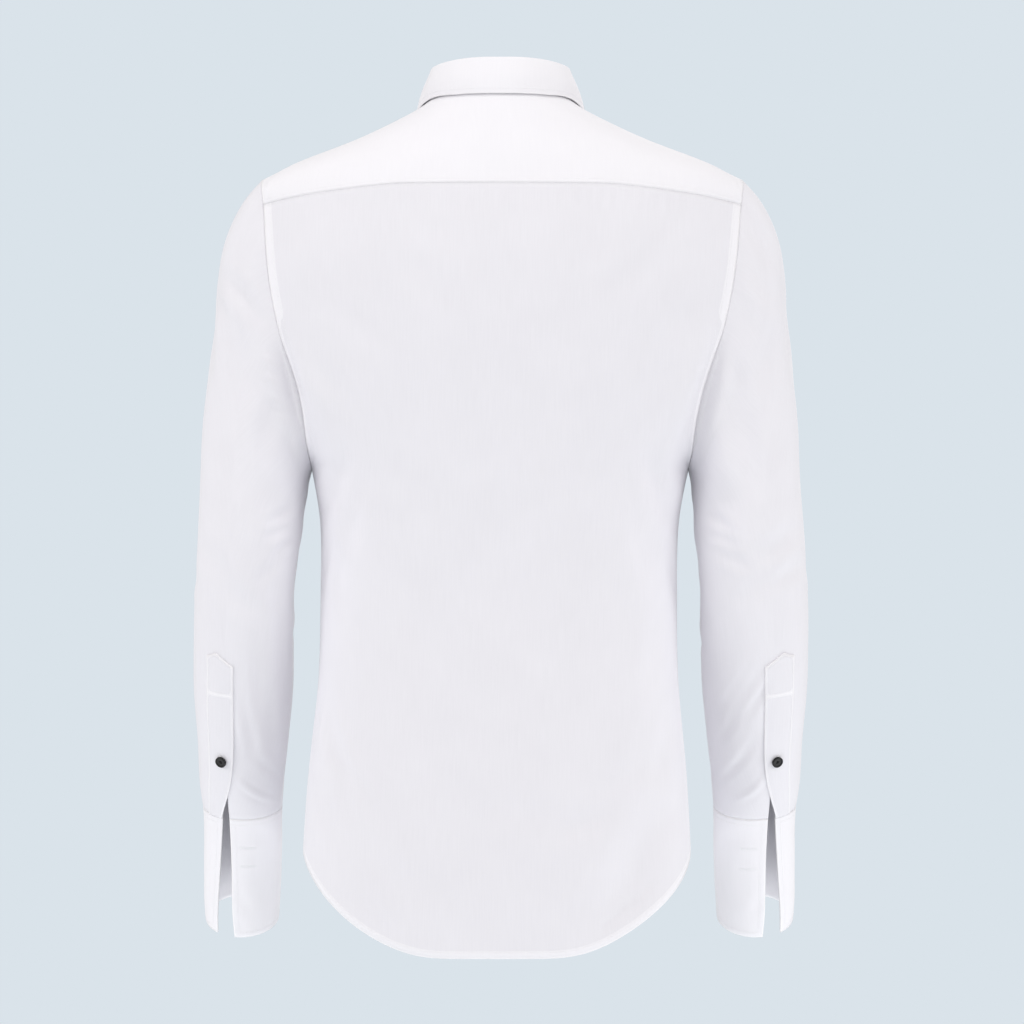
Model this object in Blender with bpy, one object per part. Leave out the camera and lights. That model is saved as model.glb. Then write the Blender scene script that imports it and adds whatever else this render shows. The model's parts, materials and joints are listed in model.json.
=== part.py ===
"""A long sleeve dress shirt, filled out as when it is worn and empty inside.

Frame: metres, +Z up. The front faces -Y, the wearer's left is +X and the back faces +Y. The origin is
the middle of the neck opening, level with the points where the yoke meets the collar at the sides.

The body is one smooth skin, given by its half widths and depths at a few heights. Back, yoke and
fronts are cut from that skin along shared seam lines, as a tailor cuts them. Each sleeve starts on
the armhole's own line and runs down through rings to the cuff.
"""

import math

import bmesh
import bpy
import numpy as np
from mathutils import Vector

# Walls and gaps
SEAM = 0.0003  # between two pieces sewn edge to edge
SHIRTING = 0.0010  # wall of one panel
COLLAR_WALL = 0.0014  # two layers with interlining
CUFF_WALL = 0.0016
LAID_ON = 0.0004  # under a strip that is sewn flat on a panel
UNDER_FRONT = SHIRTING + LAID_ON  # how far the right front is tucked behind the left one
UNDER_STAND = COLLAR_WALL + LAID_ON

# How finely each piece is divided
STRIP_POINTS = 3  # points across the placket, and across the right front's edge behind it
BACK_COLUMNS = 20
SIDE_ROWS = 9
ARMHOLE_ROWS = 8
YOKE_ARMHOLE_COLUMNS = 3  # from a yoke corner up to the shoulder tip
YOKE_ROWS = 6
YOKE_ROW_POWER = 1.3  # its rows lie closer together towards the neck
SLEEVE_COLUMNS = 2 * (ARMHOLE_ROWS + YOKE_ARMHOLE_COLUMNS)
SLEEVE_RINGS = 23
CUFF_RINGS = 5

# How closely lines on the skin are solved
HALVINGS = 50
ROUNDS = 12
ARMHOLE_STEPS = 400


class Table:
    """Rows of sizes under named columns, read between its rows along a smooth curve."""

    def __init__(self, columns, *rows):
        names = columns.split()
        self.values = dict(zip(names, np.array(rows, float).T))
        self.keys = self.values[names[0]]

    def read(self, name, key):
        keys, values = self.keys, self.values[name]
        slopes = np.gradient(values, keys)
        key = np.clip(key, keys[0], keys[-1])
        low = np.clip(np.searchsorted(keys, key) - 1, 0, len(keys) - 2)
        span = keys[low + 1] - keys[low]
        t = (key - keys[low]) / span
        return (
            (1 + 2 * t) * (1 - t) ** 2 * values[low]
            + t * (1 - t) ** 2 * span * slopes[low]
            + t**2 * (3 - 2 * t) * values[low + 1]
            + t**2 * (t - 1) * span * slopes[low + 1]
        )


# The body's skin: half width at the side line, depth behind and in front of it, and how square the
# section is (2 is an ellipse)
BODY = Table(
    "height half_width back front squareness",
    (-0.780, 0.1745, 0.110, 0.108, 2.3),
    (-0.675, 0.1740, 0.113, 0.112, 2.3),
    (-0.600, 0.1690, 0.111, 0.113, 2.3),
    (-0.530, 0.1620, 0.107, 0.113, 2.3),
    (-0.452, 0.1600, 0.104, 0.113, 2.3),
    (-0.390, 0.1608, 0.107, 0.115, 2.3),
    (-0.335, 0.1690, 0.112, 0.118, 2.2),
    (-0.273, 0.2080, 0.116, 0.121, 2.1),
    (-0.212, 0.2300, 0.119, 0.120, 2.0),
    (-0.150, 0.2360, 0.115, 0.108, 2.0),
    (-0.099, 0.2265, 0.103, 0.086, 2.0),
    (-0.074, 0.2150, 0.094, 0.072, 2.0),
    (-0.056, 0.1765, 0.087, 0.059, 2.0),
    (-0.038, 0.1300, 0.078, 0.049, 2.0),
    (-0.020, 0.0920, 0.069, 0.048, 2.0),
    (-0.013, 0.0785, 0.066, 0.047, 2.0),
    (-0.007, 0.0677, 0.062, 0.047, 2.0),
    (0.005, 0.0595, 0.056, 0.046, 2.0),
    (0.020, 0.0580, 0.055, 0.046, 2.0),
)

# How far out from the middle the armhole's line lies at each height
ARMHOLE = Table(
    "height x",
    (-0.345, 0.1675),
    (-0.335, 0.1690),
    (-0.310, 0.1725),
    (-0.273, 0.1813),
    (-0.212, 0.1962),
    (-0.180, 0.2034),
    (-0.150, 0.2078),
    (-0.099, 0.2125),
    (-0.076, 0.2160),
    (-0.060, 0.2190),
)
YOKE_BACK_CORNER = -0.0990  # height where the back yoke seam meets the armhole
YOKE_FRONT_CORNER = -0.0940
YOKE_NECK_ANGLE = -35.0  # where the front yoke seam meets the neck
YOKE_SEAM_MIDDLE = -0.0850
YOKE_SEAM_LEVEL = 0.4  # share of the half seam that is level before it drops to the armhole
YOKE_SEAM_POWER = 1.3

# Hem: short at the side seams, with a rounded tail behind and in front
HEM_SIDE = -0.675
HEM_BACK = -0.761
HEM_FRONT = -0.745
HEM_TURN = 74.0  # degrees from the side seam to where the tail runs level

# Neck line
NECK_SIDE = -0.003
NECK_BACK_RISE = 0.005
NECK_FRONT_DROP = 0.044

# Front edges: distances round the body from the middle to the first columns of each front
FRONT_EDGE = -0.016
PLACKET_EDGE = 0.016
TUCK_START = 0.034
NECK_COLUMNS = 5  # columns of a front along the neck line

# Collar
STAND = Table(
    "share height",  # share 0 is the middle of the back, 1 the front
    (0.00, 0.0266),
    (0.20, 0.0279),
    (0.50, 0.0274),
    (1.00, 0.0245),
)
STAND_FORWARD = math.radians(12)  # the whole stand tips forward
STAND_INWARD = math.radians(8)
STAND_ROWS = 2
LEAF_GAP = 0.003  # from the middle to each front end of the leaf
LEAF_FALL_ROWS = 4

# The fold of the leaf over the stand, from the stand's top edge: out from its face, and up
LEAF_FOLD = (
    (-0.0013, 0.0007),
    (-0.0013, 0.0019),
    (0.0003, 0.0034),
    (0.0030, 0.0026),
    (0.0042, -0.0020),
)

# The leaf's lower edge, from the middle of the back (share 0) to the collar point (share 1), how far
# its outer face stands off the body, and how far the leaf bows outwards above that edge
LEAF_EDGE = Table(
    "share angle height stand_off bulge",
    (0.00, 90.0, -0.004, 0.0022, 0.0018),
    (0.25, 55.0, -0.004, 0.0024, 0.0018),
    (0.50, 10.0, -0.006, 0.0026, 0.0024),
    (0.62, -22.0, -0.014, 0.0034, 0.0034),
    (0.75, -50.0, -0.030, 0.0042, 0.0036),
    (0.88, -68.0, -0.054, 0.0042, 0.0022),
    (1.00, -76.8, -0.078, 0.0036, 0.0018),
)

# The left sleeve's rings. Ring 0 is the armhole and ring 23 the cuff seam. Each has its outermost and
# innermost point, how far its middle lies back, half its depth, and its tilt: the back edge is lower.
SLEEVE = Table(
    "ring outer_x outer_z inner_x inner_z middle_y half_depth tilt",
    (0.0, 0.2150, -0.0745, 0.1690, -0.3350, 0.000, 0.0600, 0.0),
    (1.0, 0.2304, -0.0918, 0.1701, -0.3384, 0.000, 0.0600, 0.0),
    (2.3, 0.2466, -0.1233, 0.1710, -0.3420, 0.000, 0.0610, 0.0),
    (4.0, 0.2556, -0.1683, 0.1724, -0.3483, 0.000, 0.0610, 0.0),
    (6.0, 0.2610, -0.2223, 0.1737, -0.3573, 0.000, 0.0610, 0.0),
    (8.4, 0.2669, -0.2853, 0.1760, -0.3726, 0.004, 0.0600, 1.0),
    (11.0, 0.2693, -0.3529, 0.1782, -0.3977, 0.008, 0.0590, 3.0),
    (13.4, 0.2726, -0.4157, 0.1833, -0.4337, 0.006, 0.0560, 6.0),
    (15.6, 0.2760, -0.4699, 0.1864, -0.4807, -0.002, 0.0530, 10.0),
    (18.2, 0.2773, -0.5339, 0.1880, -0.5357, -0.022, 0.0500, 14.0),
    (20.0, 0.2751, -0.5803, 0.1931, -0.5821, -0.040, 0.0460, 15.0),
    (21.6, 0.2747, -0.6180, 0.1973, -0.6180, -0.055, 0.0400, 15.5),
    (23.0, 0.2723, -0.6408, 0.1998, -0.6426, -0.0655, 0.0370, 16.0),
    (25.5, 0.2734, -0.6946, 0.2013, -0.6946, -0.090, 0.0360, 20.0),
    (27.0, 0.2747, -0.7288, 0.2040, -0.7288, -0.105, 0.0350, 26.0),
    (28.0, 0.2742, -0.7490, 0.2058, -0.7490, -0.115, 0.0340, 29.5),
)
ARMHOLE_FADE = 6.0  # rings over which the armhole's shape turns into an oval

# The slit at the back of the forearm and the cuff's open edges, in degrees round the sleeve: 0 is
# next to the body, 90 the back, 180 the outer side
SLIT = Table(
    "ring inner_edge outer_edge",
    (18.0, 106.5, 106.5),
    (21.0, 105.6, 109.4),
    (23.0, 105.2, 116.2),
    (25.5, 102.8, 123.0),
    (27.0, 101.0, 126.6),
    (28.0, 98.5, 129.2),
)
SLIT_COLUMN = 7  # the armhole point, counted from the underarm, that leads down to the slit

# The pointed placket over the slit: its two long edges
GAUNTLET = Table(
    "ring free_edge far_edge",
    (16.3, 96.5, 130.6),
    (17.8, 97.0, 131.2),
    (20.2, 98.2, 132.4),
    (21.0, 100.4, 133.2),
    (21.6, 104.4, 134.8),
    (23.0, 117.0, 141.0),
)
GAUNTLET_TOP = (16.70, 16.50, 16.30, 16.38, 16.45)  # its pointed end, from the free edge across
GAUNTLET_ACROSS = (0.0, 0.3, 0.6, 0.8, 1.0)
GAUNTLET_RINGS = (17.8, 19.0, 20.2, 21.0, 21.6, 22.3, 23.0)

# Buttons
BUTTON_THICKNESS = 0.0024
BUTTON_SIDES = 16
BUTTON_PROFILE = ((0.86, 0.00), (1.00, 0.28), (1.00, 0.68), (0.86, 1.00), (0.66, 0.76))
FRONT_BUTTON_RADIUS = 0.0055
FRONT_BUTTON_HEIGHTS = (-0.105, -0.195, -0.285, -0.375, -0.465, -0.555, -0.645)
COLLAR_BUTTON_RADIUS = 0.0050
GAUNTLET_BUTTON_RADIUS = 0.0052
GAUNTLET_BUTTON = (20.2, 112.6)  # ring and degrees round the sleeve

# The largest folds: where the middle of each lies, its half length and half width, how far it stands
# out (troughs are negative) and its lean from upright in degrees
BODY_FOLDS = Table(
    "angle height length width depth lean",
    (58.0, -0.455, 0.110, 0.020, -0.0030, 3.0),
    (121.0, -0.440, 0.120, 0.020, -0.0032, -4.0),
    (74.0, -0.610, 0.090, 0.024, -0.0022, -6.0),
    (132.0, -0.630, 0.080, 0.022, -0.0028, 28.0),
    (38.0, -0.400, 0.060, 0.018, -0.0024, 32.0),
    (146.0, -0.395, 0.060, 0.018, -0.0026, -30.0),
    (-52.0, -0.450, 0.110, 0.020, -0.0030, -4.0),
    (-127.0, -0.470, 0.110, 0.020, -0.0030, 5.0),
    (-45.0, -0.250, 0.060, 0.018, -0.0026, -38.0),
    (-134.0, -0.245, 0.060, 0.018, -0.0026, 36.0),
)
SLEEVE_FOLDS = Table(
    "angle height length width depth lean",
    (152.0, -0.172, 0.040, 0.014, -0.0034, -42.0),
    (168.0, -0.235, 0.055, 0.014, -0.0022, -20.0),
    (60.0, -0.372, 0.050, 0.014, -0.0030, 48.0),
    (300.0, -0.380, 0.050, 0.014, -0.0034, -46.0),
    (318.0, -0.430, 0.045, 0.013, -0.0032, -62.0),
    (228.0, -0.445, 0.055, 0.014, -0.0026, 38.0),
    (78.0, -0.600, 0.040, 0.011, -0.0026, 40.0),
    (255.0, -0.560, 0.050, 0.013, -0.0028, -25.0),
)
# A worn shirt never hangs quite straight: how far each part lies to the wearer's left of a true
# mirror image. Down to the underarm all parts move as one; below it the right sleeve is fuller.
SWAY = Table(
    "height body left_arm right_inner right_outer",
    (-0.800, 0.0022, 0.0000, 0.0046, 0.0012),
    (-0.650, 0.0022, 0.0000, 0.0043, 0.0003),
    (-0.550, 0.0012, -0.0005, 0.0040, -0.0008),
    (-0.450, 0.0006, -0.0010, 0.0054, -0.0024),
    (-0.400, 0.0002, -0.0008, 0.0034, -0.0026),
    (-0.335, -0.0006, -0.0006, -0.0006, -0.0006),
    (-0.250, -0.0012, -0.0012, -0.0012, -0.0012),
    (-0.150, -0.0020, -0.0020, -0.0020, -0.0020),
    (-0.080, -0.0026, -0.0026, -0.0026, -0.0026),
    (-0.040, -0.0020, -0.0020, -0.0020, -0.0020),
    (0.000, -0.0010, -0.0010, -0.0010, -0.0010),
    (0.040, -0.0010, -0.0010, -0.0010, -0.0010),
)
ARM_INNER_X = 0.185  # between these two the right arm's shift passes from inner to outer
ARM_OUTER_X = 0.275
BODY_FOLD_RADIUS = 0.150
SLEEVE_FOLD_RADIUS = 0.050

WHITE = (0.86, 0.86, 0.88)
BLACK = (0.010, 0.010, 0.012)


def unit(vectors):
    return vectors / np.linalg.norm(vectors, axis=-1, keepdims=True)


def fold_out(folds, angle, height, radius):
    """How far the cloth stands out at a place, from all the folds near it."""
    total = 0.0
    for around, level, length, width, depth, lean in zip(*folds.values.values()):
        across = np.radians((angle - around + 180) % 360 - 180) * radius
        along = height - level
        cos, sin = math.cos(math.radians(lean)), math.sin(math.radians(lean))
        off_line = (across * cos - along * sin) / width
        off_middle = (along * cos + across * sin) / length
        total = total + depth * np.exp(-(off_line**2) - off_middle**2)
    return total


def skin(angle, height):
    """Points of the body's skin: angle 0 is the wearer's left side, 90 the middle of the back."""
    angle, height = np.broadcast_arrays(np.asarray(angle, float), np.asarray(height, float))
    width, back, front, square = (
        BODY.read(name, height) for name in ("half_width", "back", "front", "squareness")
    )
    cos, sin = np.cos(np.radians(angle)), np.sin(np.radians(angle))
    reach = (np.abs(cos) ** square + np.abs(sin) ** square) ** (-1 / square)
    depth = np.where(sin >= 0, back, front)
    fold = fold_out(BODY_FOLDS, angle, height, BODY_FOLD_RADIUS)
    return np.stack([width * cos * reach + fold * cos, depth * sin * reach + fold * sin, height], -1)


def skin_normal(angle, height):
    angle, height = np.asarray(angle, float), np.asarray(height, float)
    around = skin(angle + 0.5, height) - skin(angle - 0.5, height)
    upward = skin(angle, height + 0.002) - skin(angle, height - 0.002)
    return unit(np.cross(around, upward))


def armhole_angle(height):
    """Degrees from the side line to the armhole's line at a height, 0 past its two ends."""
    width, square = BODY.read("half_width", height), BODY.read("squareness", height)
    share = np.minimum(ARMHOLE.read("x", height) / width, 1.0)
    return np.degrees(np.arctan(np.maximum(share**-square - 1, 0) ** (1 / square)))


def armhole_end(low, high):
    """The height between two others where the armhole's line reaches the side line."""
    def beyond(height):
        return BODY.read("half_width", height) > ARMHOLE.read("x", height)

    opens_at_high = beyond(high)
    for _ in range(HALVINGS):
        middle = (low + high) / 2
        if beyond(middle) == opens_at_high:
            high = middle
        else:
            low = middle
    return (low + high) / 2


UNDERARM = float(armhole_end(-0.345, -0.310))
SHOULDER_TIP = float(armhole_end(-0.060, -0.090))


def armhole_line(face, corner):
    """Angles and heights along the armhole, evenly spaced: underarm, yoke corner, shoulder tip."""
    heights = UNDERARM + (SHOULDER_TIP - UNDERARM) * (1 - np.cos(np.linspace(0, np.pi, ARMHOLE_STEPS))) / 2
    points = skin(face * armhole_angle(heights), heights)
    length = np.concatenate([[0], np.cumsum(np.linalg.norm(np.diff(points, axis=0), axis=1))])
    turn = np.interp(corner, heights, length)
    stops = np.concatenate([
        np.linspace(0, turn, ARMHOLE_ROWS + 1),
        np.linspace(turn, length[-1], YOKE_ARMHOLE_COLUMNS + 1)[1:],
    ])
    levels = np.interp(stops, length, heights)
    angles = face * armhole_angle(levels)
    angles[[0, -1]] = 0.0
    return np.stack([angles, levels], -1)


ARMHOLE_BACK = armhole_line(1, YOKE_BACK_CORNER)
ARMHOLE_FRONT = armhole_line(-1, YOKE_FRONT_CORNER)


def girth(height, face):
    """Degrees from a middle line towards the side, and the distances round the body to them."""
    turns = np.linspace(0, 90, 91)
    points = skin(face * (90 - turns), np.full(turns.shape, height))
    steps = np.linalg.norm(np.diff(points, axis=0), axis=1)
    return turns, np.concatenate([[0], np.cumsum(steps)])


def angle_at(distance, height, face):
    """The angle at a distance round the body from the middle of the back (1) or the front (-1)."""
    turns, distances = girth(height, face)
    return face * (90 - math.copysign(1, distance) * np.interp(abs(distance), distances, turns))


def distance_to(angle, height, face):
    turn = 90 - face * angle
    turns, distances = girth(height, face)
    return math.copysign(1, turn) * np.interp(abs(turn), turns, distances)


def from_side(angle):
    """Degrees from the nearer side line, 0 to 90."""
    angle = abs((angle + 180) % 360 - 180)
    return min(angle, 180 - angle)


def neck_height(angle):
    if 0 <= angle <= 180:
        return NECK_SIDE + NECK_BACK_RISE * math.sin(math.radians(angle)) ** 2
    return NECK_SIDE - NECK_FRONT_DROP * (from_side(angle) / 90) ** 1.8


def hem_height(angle):
    share = min(from_side(angle) / HEM_TURN, 1)
    tail = HEM_BACK if angle >= 0 else HEM_FRONT
    return HEM_SIDE + (tail - HEM_SIDE) * share * share * (3 - 2 * share)


def on_line(distance, face, height_of):
    """Angle and height where a line such as the hem lies at a distance from the middle."""
    height = height_of(face * 90)
    for _ in range(ROUNDS):
        angle = angle_at(distance, height, face)
        height = height_of(angle)
    return angle, height


def yoke_seam_back():
    corner = ARMHOLE_BACK[ARMHOLE_ROWS]
    half = distance_to(corner[0], corner[1], 1)
    places = []
    for share in np.linspace(1, -1, BACK_COLUMNS + 1):
        past = max(abs(share) - YOKE_SEAM_LEVEL, 0) / (1 - YOKE_SEAM_LEVEL)
        height = YOKE_SEAM_MIDDLE + (corner[1] - YOKE_SEAM_MIDDLE) * past**YOKE_SEAM_POWER
        places.append((angle_at(share * half, height, 1), height))
    return np.array(places)


def yoke_seam_front():
    """From the neck out to the armhole."""
    neck = np.array((YOKE_NECK_ANGLE, neck_height(YOKE_NECK_ANGLE)))
    shares = np.linspace(0, 1, YOKE_ROWS + 1)[:, None] ** YOKE_ROW_POWER
    return neck + (ARMHOLE_FRONT[ARMHOLE_ROWS] - neck) * shares


def neck_line_front():
    """From the front edge to the yoke seam."""
    places = [on_line(at, -1, neck_height) for at in (FRONT_EDGE, 0.0, PLACKET_EDGE, TUCK_START)]
    middle = (places[-1][0] + YOKE_NECK_ANGLE) / 2
    places += [(angle, neck_height(angle)) for angle in (middle, YOKE_NECK_ANGLE)]
    return np.array(places)


def mirrored_places(places):
    """The same places on the wearer's other side, in the opposite order."""
    return np.stack([180 - places[::-1, 0], places[::-1, 1]], -1)


def coons(bottom, top, left, right, weight=None):
    """Fills the space between four lines of pairs with rows and columns."""
    u = np.linspace(0, 1, len(bottom)) if weight is None else weight
    u, v = u[None, :, None], np.linspace(0, 1, len(left))[:, None, None]
    between = (1 - v) * bottom[None] + v * top[None] + (1 - u) * left[:, None] + u * right[:, None]
    corners = (1 - v) * ((1 - u) * bottom[0] + u * bottom[-1]) + v * ((1 - u) * top[0] + u * top[-1])
    return between - corners


def flat(places, face):
    """Angles and heights as distances and heights, as on the flat cloth."""
    return np.array([(distance_to(angle, height, face), height) for angle, height in places])


def worn(grid, face):
    """A grid of distances and heights back as angles and heights."""
    return np.array([[(angle_at(d, height, face), height) for d, height in row] for row in grid])


def swayed(points, limb):
    """Points moved sideways as that part of the shirt hangs."""
    height = points[..., 2]
    if limb == "right_arm":
        share = np.clip((-points[..., 0] - ARM_INNER_X) / (ARM_OUTER_X - ARM_INNER_X), 0, 1)
        inner, outer = SWAY.read("right_inner", height), SWAY.read("right_outer", height)
        shift = inner + (outer - inner) * share
    else:
        shift = SWAY.read(limb, height)
    return points + shift[..., None] * np.array((1, 0, 0))


def halves(a, b, c, d):
    """A four-sided face as two triangles, cut along its shorter diagonal."""
    if (a.co - c.co).length <= (b.co - d.co).length:
        return (a, b, c), (a, c, d)
    return (a, b, d), (b, c, d)


def cloth(name, outer, inner, limb="body"):
    """A closed wall between an outer and an inner grid of points, joined along its edges."""
    mesh = bmesh.new()
    sheets = []
    for grid in (swayed(outer, limb), swayed(inner, limb)):
        rows = []
        for line in grid:
            verts = [mesh.verts.new(point) for point in line[:-1]]
            closed = np.linalg.norm(line[-1] - line[0]) < 1e-6
            rows.append(verts + [verts[0] if closed else mesh.verts.new(line[-1])])
        sheets.append(rows)
    outer_verts, inner_verts = sheets
    opposite = {}
    for out_row, in_row in zip(outer_verts, inner_verts):
        opposite.update(zip(out_row, in_row))
    faces = []
    for low, high in zip(outer_verts, outer_verts[1:]):
        for corners in zip(low, low[1:], high[1:], high):
            faces += [mesh.faces.new(half) for half in halves(*corners)]
    rims = [edge.link_loops[0] for edge in mesh.edges if len(edge.link_faces) == 1]
    for face in faces:
        mesh.faces.new([opposite[vert] for vert in reversed(face.verts)])
    for loop in rims:
        start, end = loop.vert, loop.link_loop_next.vert
        mesh.faces.new((end, start, opposite[start], opposite[end]))
    add_object(name, mesh, WHITE)


def add_object(name, mesh, colour, roughness=0.85):
    data = bpy.data.meshes.new(name)
    mesh.to_mesh(data)
    mesh.free()
    data.shade_smooth()
    data.set_sharp_from_angle(angle=math.radians(40))
    material = bpy.data.materials.new(name)
    material.use_nodes = True
    shader = material.node_tree.nodes["Principled BSDF"]
    shader.inputs["Base Color"].default_value = (*colour, 1)
    shader.inputs["Roughness"].default_value = roughness
    shader.inputs["Metallic"].default_value = 0.0
    data.materials.append(material)
    piece = bpy.data.objects.new(name, data)
    bpy.context.collection.objects.link(piece)
    return piece


def mirrored(grid):
    """A grid on the wearer's other side, its columns reversed so that it still faces outwards."""
    return grid[:, ::-1] * (-1, 1, 1)


def trimmed(points, normals, bottom=0.0, top=0.0, left=0.0, right=0.0):
    """The same grid with its edges drawn in along the surface, square to each edge."""
    def along(line):
        return unit(np.gradient(line, axis=0))

    moved = points.copy()
    moved[0] += bottom * np.cross(normals[0], along(points[0]))
    moved[-1] -= top * np.cross(normals[-1], along(points[-1]))
    moved[:, 0] -= left * np.cross(normals[:, 0], along(points[:, 0]))
    moved[:, -1] += right * np.cross(normals[:, -1], along(points[:, -1]))
    return moved


def grid_normals(points, wrap=False):
    """Normals of a grid that has no formula of its own, closed round on itself if it wraps."""
    if wrap:
        ring = np.concatenate([points[:, -2:-1], points, points[:, 1:2]], axis=1)
        across = (ring[:, 2:] - ring[:, :-2]) / 2
    else:
        across = np.gradient(points, axis=1)
    return unit(np.cross(across, np.gradient(points, axis=0)))


def make_back():
    line = ARMHOLE_BACK[: ARMHOLE_ROWS + 1]
    side = [(0.0, height) for height in np.linspace(HEM_SIDE, UNDERARM, SIDE_ROWS + 1)[:-1]]
    left = flat(np.concatenate([side, line]), 1)
    right = left * (-1, 1)
    half = left[0, 0]
    hem = [on_line(share * half, 1, hem_height) for share in np.linspace(1, -1, BACK_COLUMNS + 1)]
    grid = worn(coons(flat(hem, 1), flat(yoke_seam_back(), 1), left, right), 1)
    points, normals = skin(grid[..., 0], grid[..., 1]), skin_normal(grid[..., 0], grid[..., 1])
    outer = trimmed(points, normals, top=SEAM / 2, left=SEAM / 2, right=SEAM / 2)
    cloth("back", outer, outer - SHIRTING * normals)


def front_grid():
    """The left front's angles and heights, from its front edge to the side seam."""
    line = ARMHOLE_FRONT[: ARMHOLE_ROWS + 1]
    side = [(0.0, height) for height in np.linspace(HEM_SIDE, UNDERARM, SIDE_ROWS + 1)[:-1]]
    right = flat(np.concatenate([side, line]), -1)
    neck = neck_line_front()
    top = flat(np.concatenate([neck, yoke_seam_front()[1:]]), -1)
    first = (FRONT_EDGE, 0.0, PLACKET_EDGE, TUCK_START)
    rest = np.linspace(TUCK_START, right[0, 0], NECK_COLUMNS + YOKE_ROWS - 2)[1:]
    bottom = flat([on_line(at, -1, hem_height) for at in (*first, *rest)], -1)
    heights = np.concatenate([
        np.linspace(bottom[0, 1], UNDERARM, SIDE_ROWS + 1)[:-1],
        np.linspace(UNDERARM, top[0, 1], ARMHOLE_ROWS + 1),
    ])
    left = np.stack([np.full(heights.shape, FRONT_EDGE), heights], -1)
    columns = np.arange(NECK_COLUMNS + YOKE_ROWS + 1)
    weight = np.clip((columns - STRIP_POINTS) / (columns[-1] - STRIP_POINTS), 0, 1)
    return worn(coons(bottom, top, left, right, weight), -1)


def make_fronts():
    grid = front_grid()
    points, normals = skin(grid[..., 0], grid[..., 1]), skin_normal(grid[..., 0], grid[..., 1])
    outer = trimmed(points, normals, top=SEAM / 2, right=SEAM / 2)
    cloth("front_left", outer, outer - SHIRTING * normals)

    strip_normals = normals[:, :STRIP_POINTS]
    strip = outer[:, :STRIP_POINTS] + LAID_ON * strip_normals
    cloth("front_placket", strip + SHIRTING * strip_normals, strip)

    behind = np.where(np.arange(outer.shape[1]) < STRIP_POINTS, UNDER_FRONT, 0.0)[None, :, None]
    tucked = outer - behind * normals
    cloth("front_right", mirrored(tucked), mirrored(tucked - SHIRTING * normals))


def neck_line():
    """Angles all round the neck, from the left front edge round the back to the right front edge."""
    front = neck_line_front()[:, 0]
    columns = BACK_COLUMNS + 4 * YOKE_ARMHOLE_COLUMNS
    yoke = np.linspace(YOKE_NECK_ANGLE, 180 - YOKE_NECK_ANGLE, columns + 1)
    return np.concatenate([front, yoke[1:-1], 180 - front[::-1]])


def make_yoke():
    columns = BACK_COLUMNS + 4 * YOKE_ARMHOLE_COLUMNS
    angles = np.linspace(YOKE_NECK_ANGLE, 180 - YOKE_NECK_ANGLE, columns + 1)
    neck = np.stack([angles, [neck_height(angle) for angle in angles]], -1)
    over = np.concatenate([ARMHOLE_FRONT[ARMHOLE_ROWS:], ARMHOLE_BACK[ARMHOLE_ROWS:][::-1][1:]])
    edge = np.concatenate([over, yoke_seam_back()[1:-1], mirrored_places(over)])
    left = yoke_seam_front()[::-1]
    right = np.stack([180 - left[:, 0], left[:, 1]], -1)
    grid = coons(edge, neck, left, right)
    points, normals = skin(grid[..., 0], grid[..., 1]), skin_normal(grid[..., 0], grid[..., 1])
    outer = trimmed(points, normals, SEAM / 2, SEAM / 2, SEAM / 2, SEAM / 2)
    cloth("yoke", outer, outer - SHIRTING * normals)


def stand_frame(angles):
    """Along the neck line: its points, the way up the stand, and the way out from its face."""
    heights = np.array([neck_height(angle) for angle in angles])
    base = skin(angles, heights)
    across = skin(angles + 0.5, heights) - skin(angles - 0.5, heights)
    out = unit(np.cross(across, (0, 0, 1)))
    up = np.array((0, -math.sin(STAND_FORWARD), math.cos(STAND_FORWARD)))
    up = unit(up - math.tan(STAND_INWARD) * out)
    out = unit(out - np.sum(out * up, -1, keepdims=True) * up)
    return base, up, out, STAND.read("height", np.abs(90 - angles) / 180)[:, None]


def make_stand():
    base, up, out, height = stand_frame(neck_line())
    behind = np.zeros(len(base))
    behind[-STRIP_POINTS:] = UNDER_STAND
    base = base - behind[:, None] * out
    low, high = SEAM / 2, height
    shares = np.linspace(0, 1, STAND_ROWS + 1)
    outer = np.array([base + up * (low + (high - low) * share) for share in shares])
    cloth("collar_stand", outer, outer - COLLAR_WALL * out)


def make_leaf():
    angles = neck_line()
    end = on_line(LEAF_GAP, -1, neck_height)[0]
    angles = np.concatenate([[end], angles[2:-2], [180 - end]])
    base, up, out, height = stand_frame(angles)
    top = base + up * height
    fold = [top + out * outward + up * upward for outward, upward in LEAF_FOLD]
    share = np.abs(90 - angles) / (90 - end)
    edge_angle, edge_height = LEAF_EDGE.read("angle", share), LEAF_EDGE.read("height", share)
    edge_angle = np.where(angles > 90, 180 - edge_angle, edge_angle)
    over = skin_normal(edge_angle, edge_height)
    edge = skin(edge_angle, edge_height) + LEAF_EDGE.read("stand_off", share)[:, None] * over
    bulge = LEAF_EDGE.read("bulge", share)[:, None] * out
    fall = []
    for step in np.linspace(0, 1, LEAF_FALL_ROWS + 1)[:-1]:
        fall.append(edge + (fold[-1] - edge) * step + bulge * math.sin(math.pi * step))
    outer = np.array(fall + fold[::-1])
    cloth("collar_leaf", outer, outer - COLLAR_WALL * grid_normals(outer))


def ring_frame(ring):
    """A ring's middle, its half axes outwards and backwards, and the way along the sleeve."""
    outer = np.array((SLEEVE.read("outer_x", ring), 0, SLEEVE.read("outer_z", ring)))
    inner = np.array((SLEEVE.read("inner_x", ring), 0, SLEEVE.read("inner_z", ring)))
    middle = (outer + inner) / 2 + (0, SLEEVE.read("middle_y", ring), 0)
    tilt = math.radians(SLEEVE.read("tilt", ring))
    backward = np.array((0, math.cos(tilt), -math.sin(tilt))) * SLEEVE.read("half_depth", ring)
    return middle, (outer - inner) / 2, backward


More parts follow.
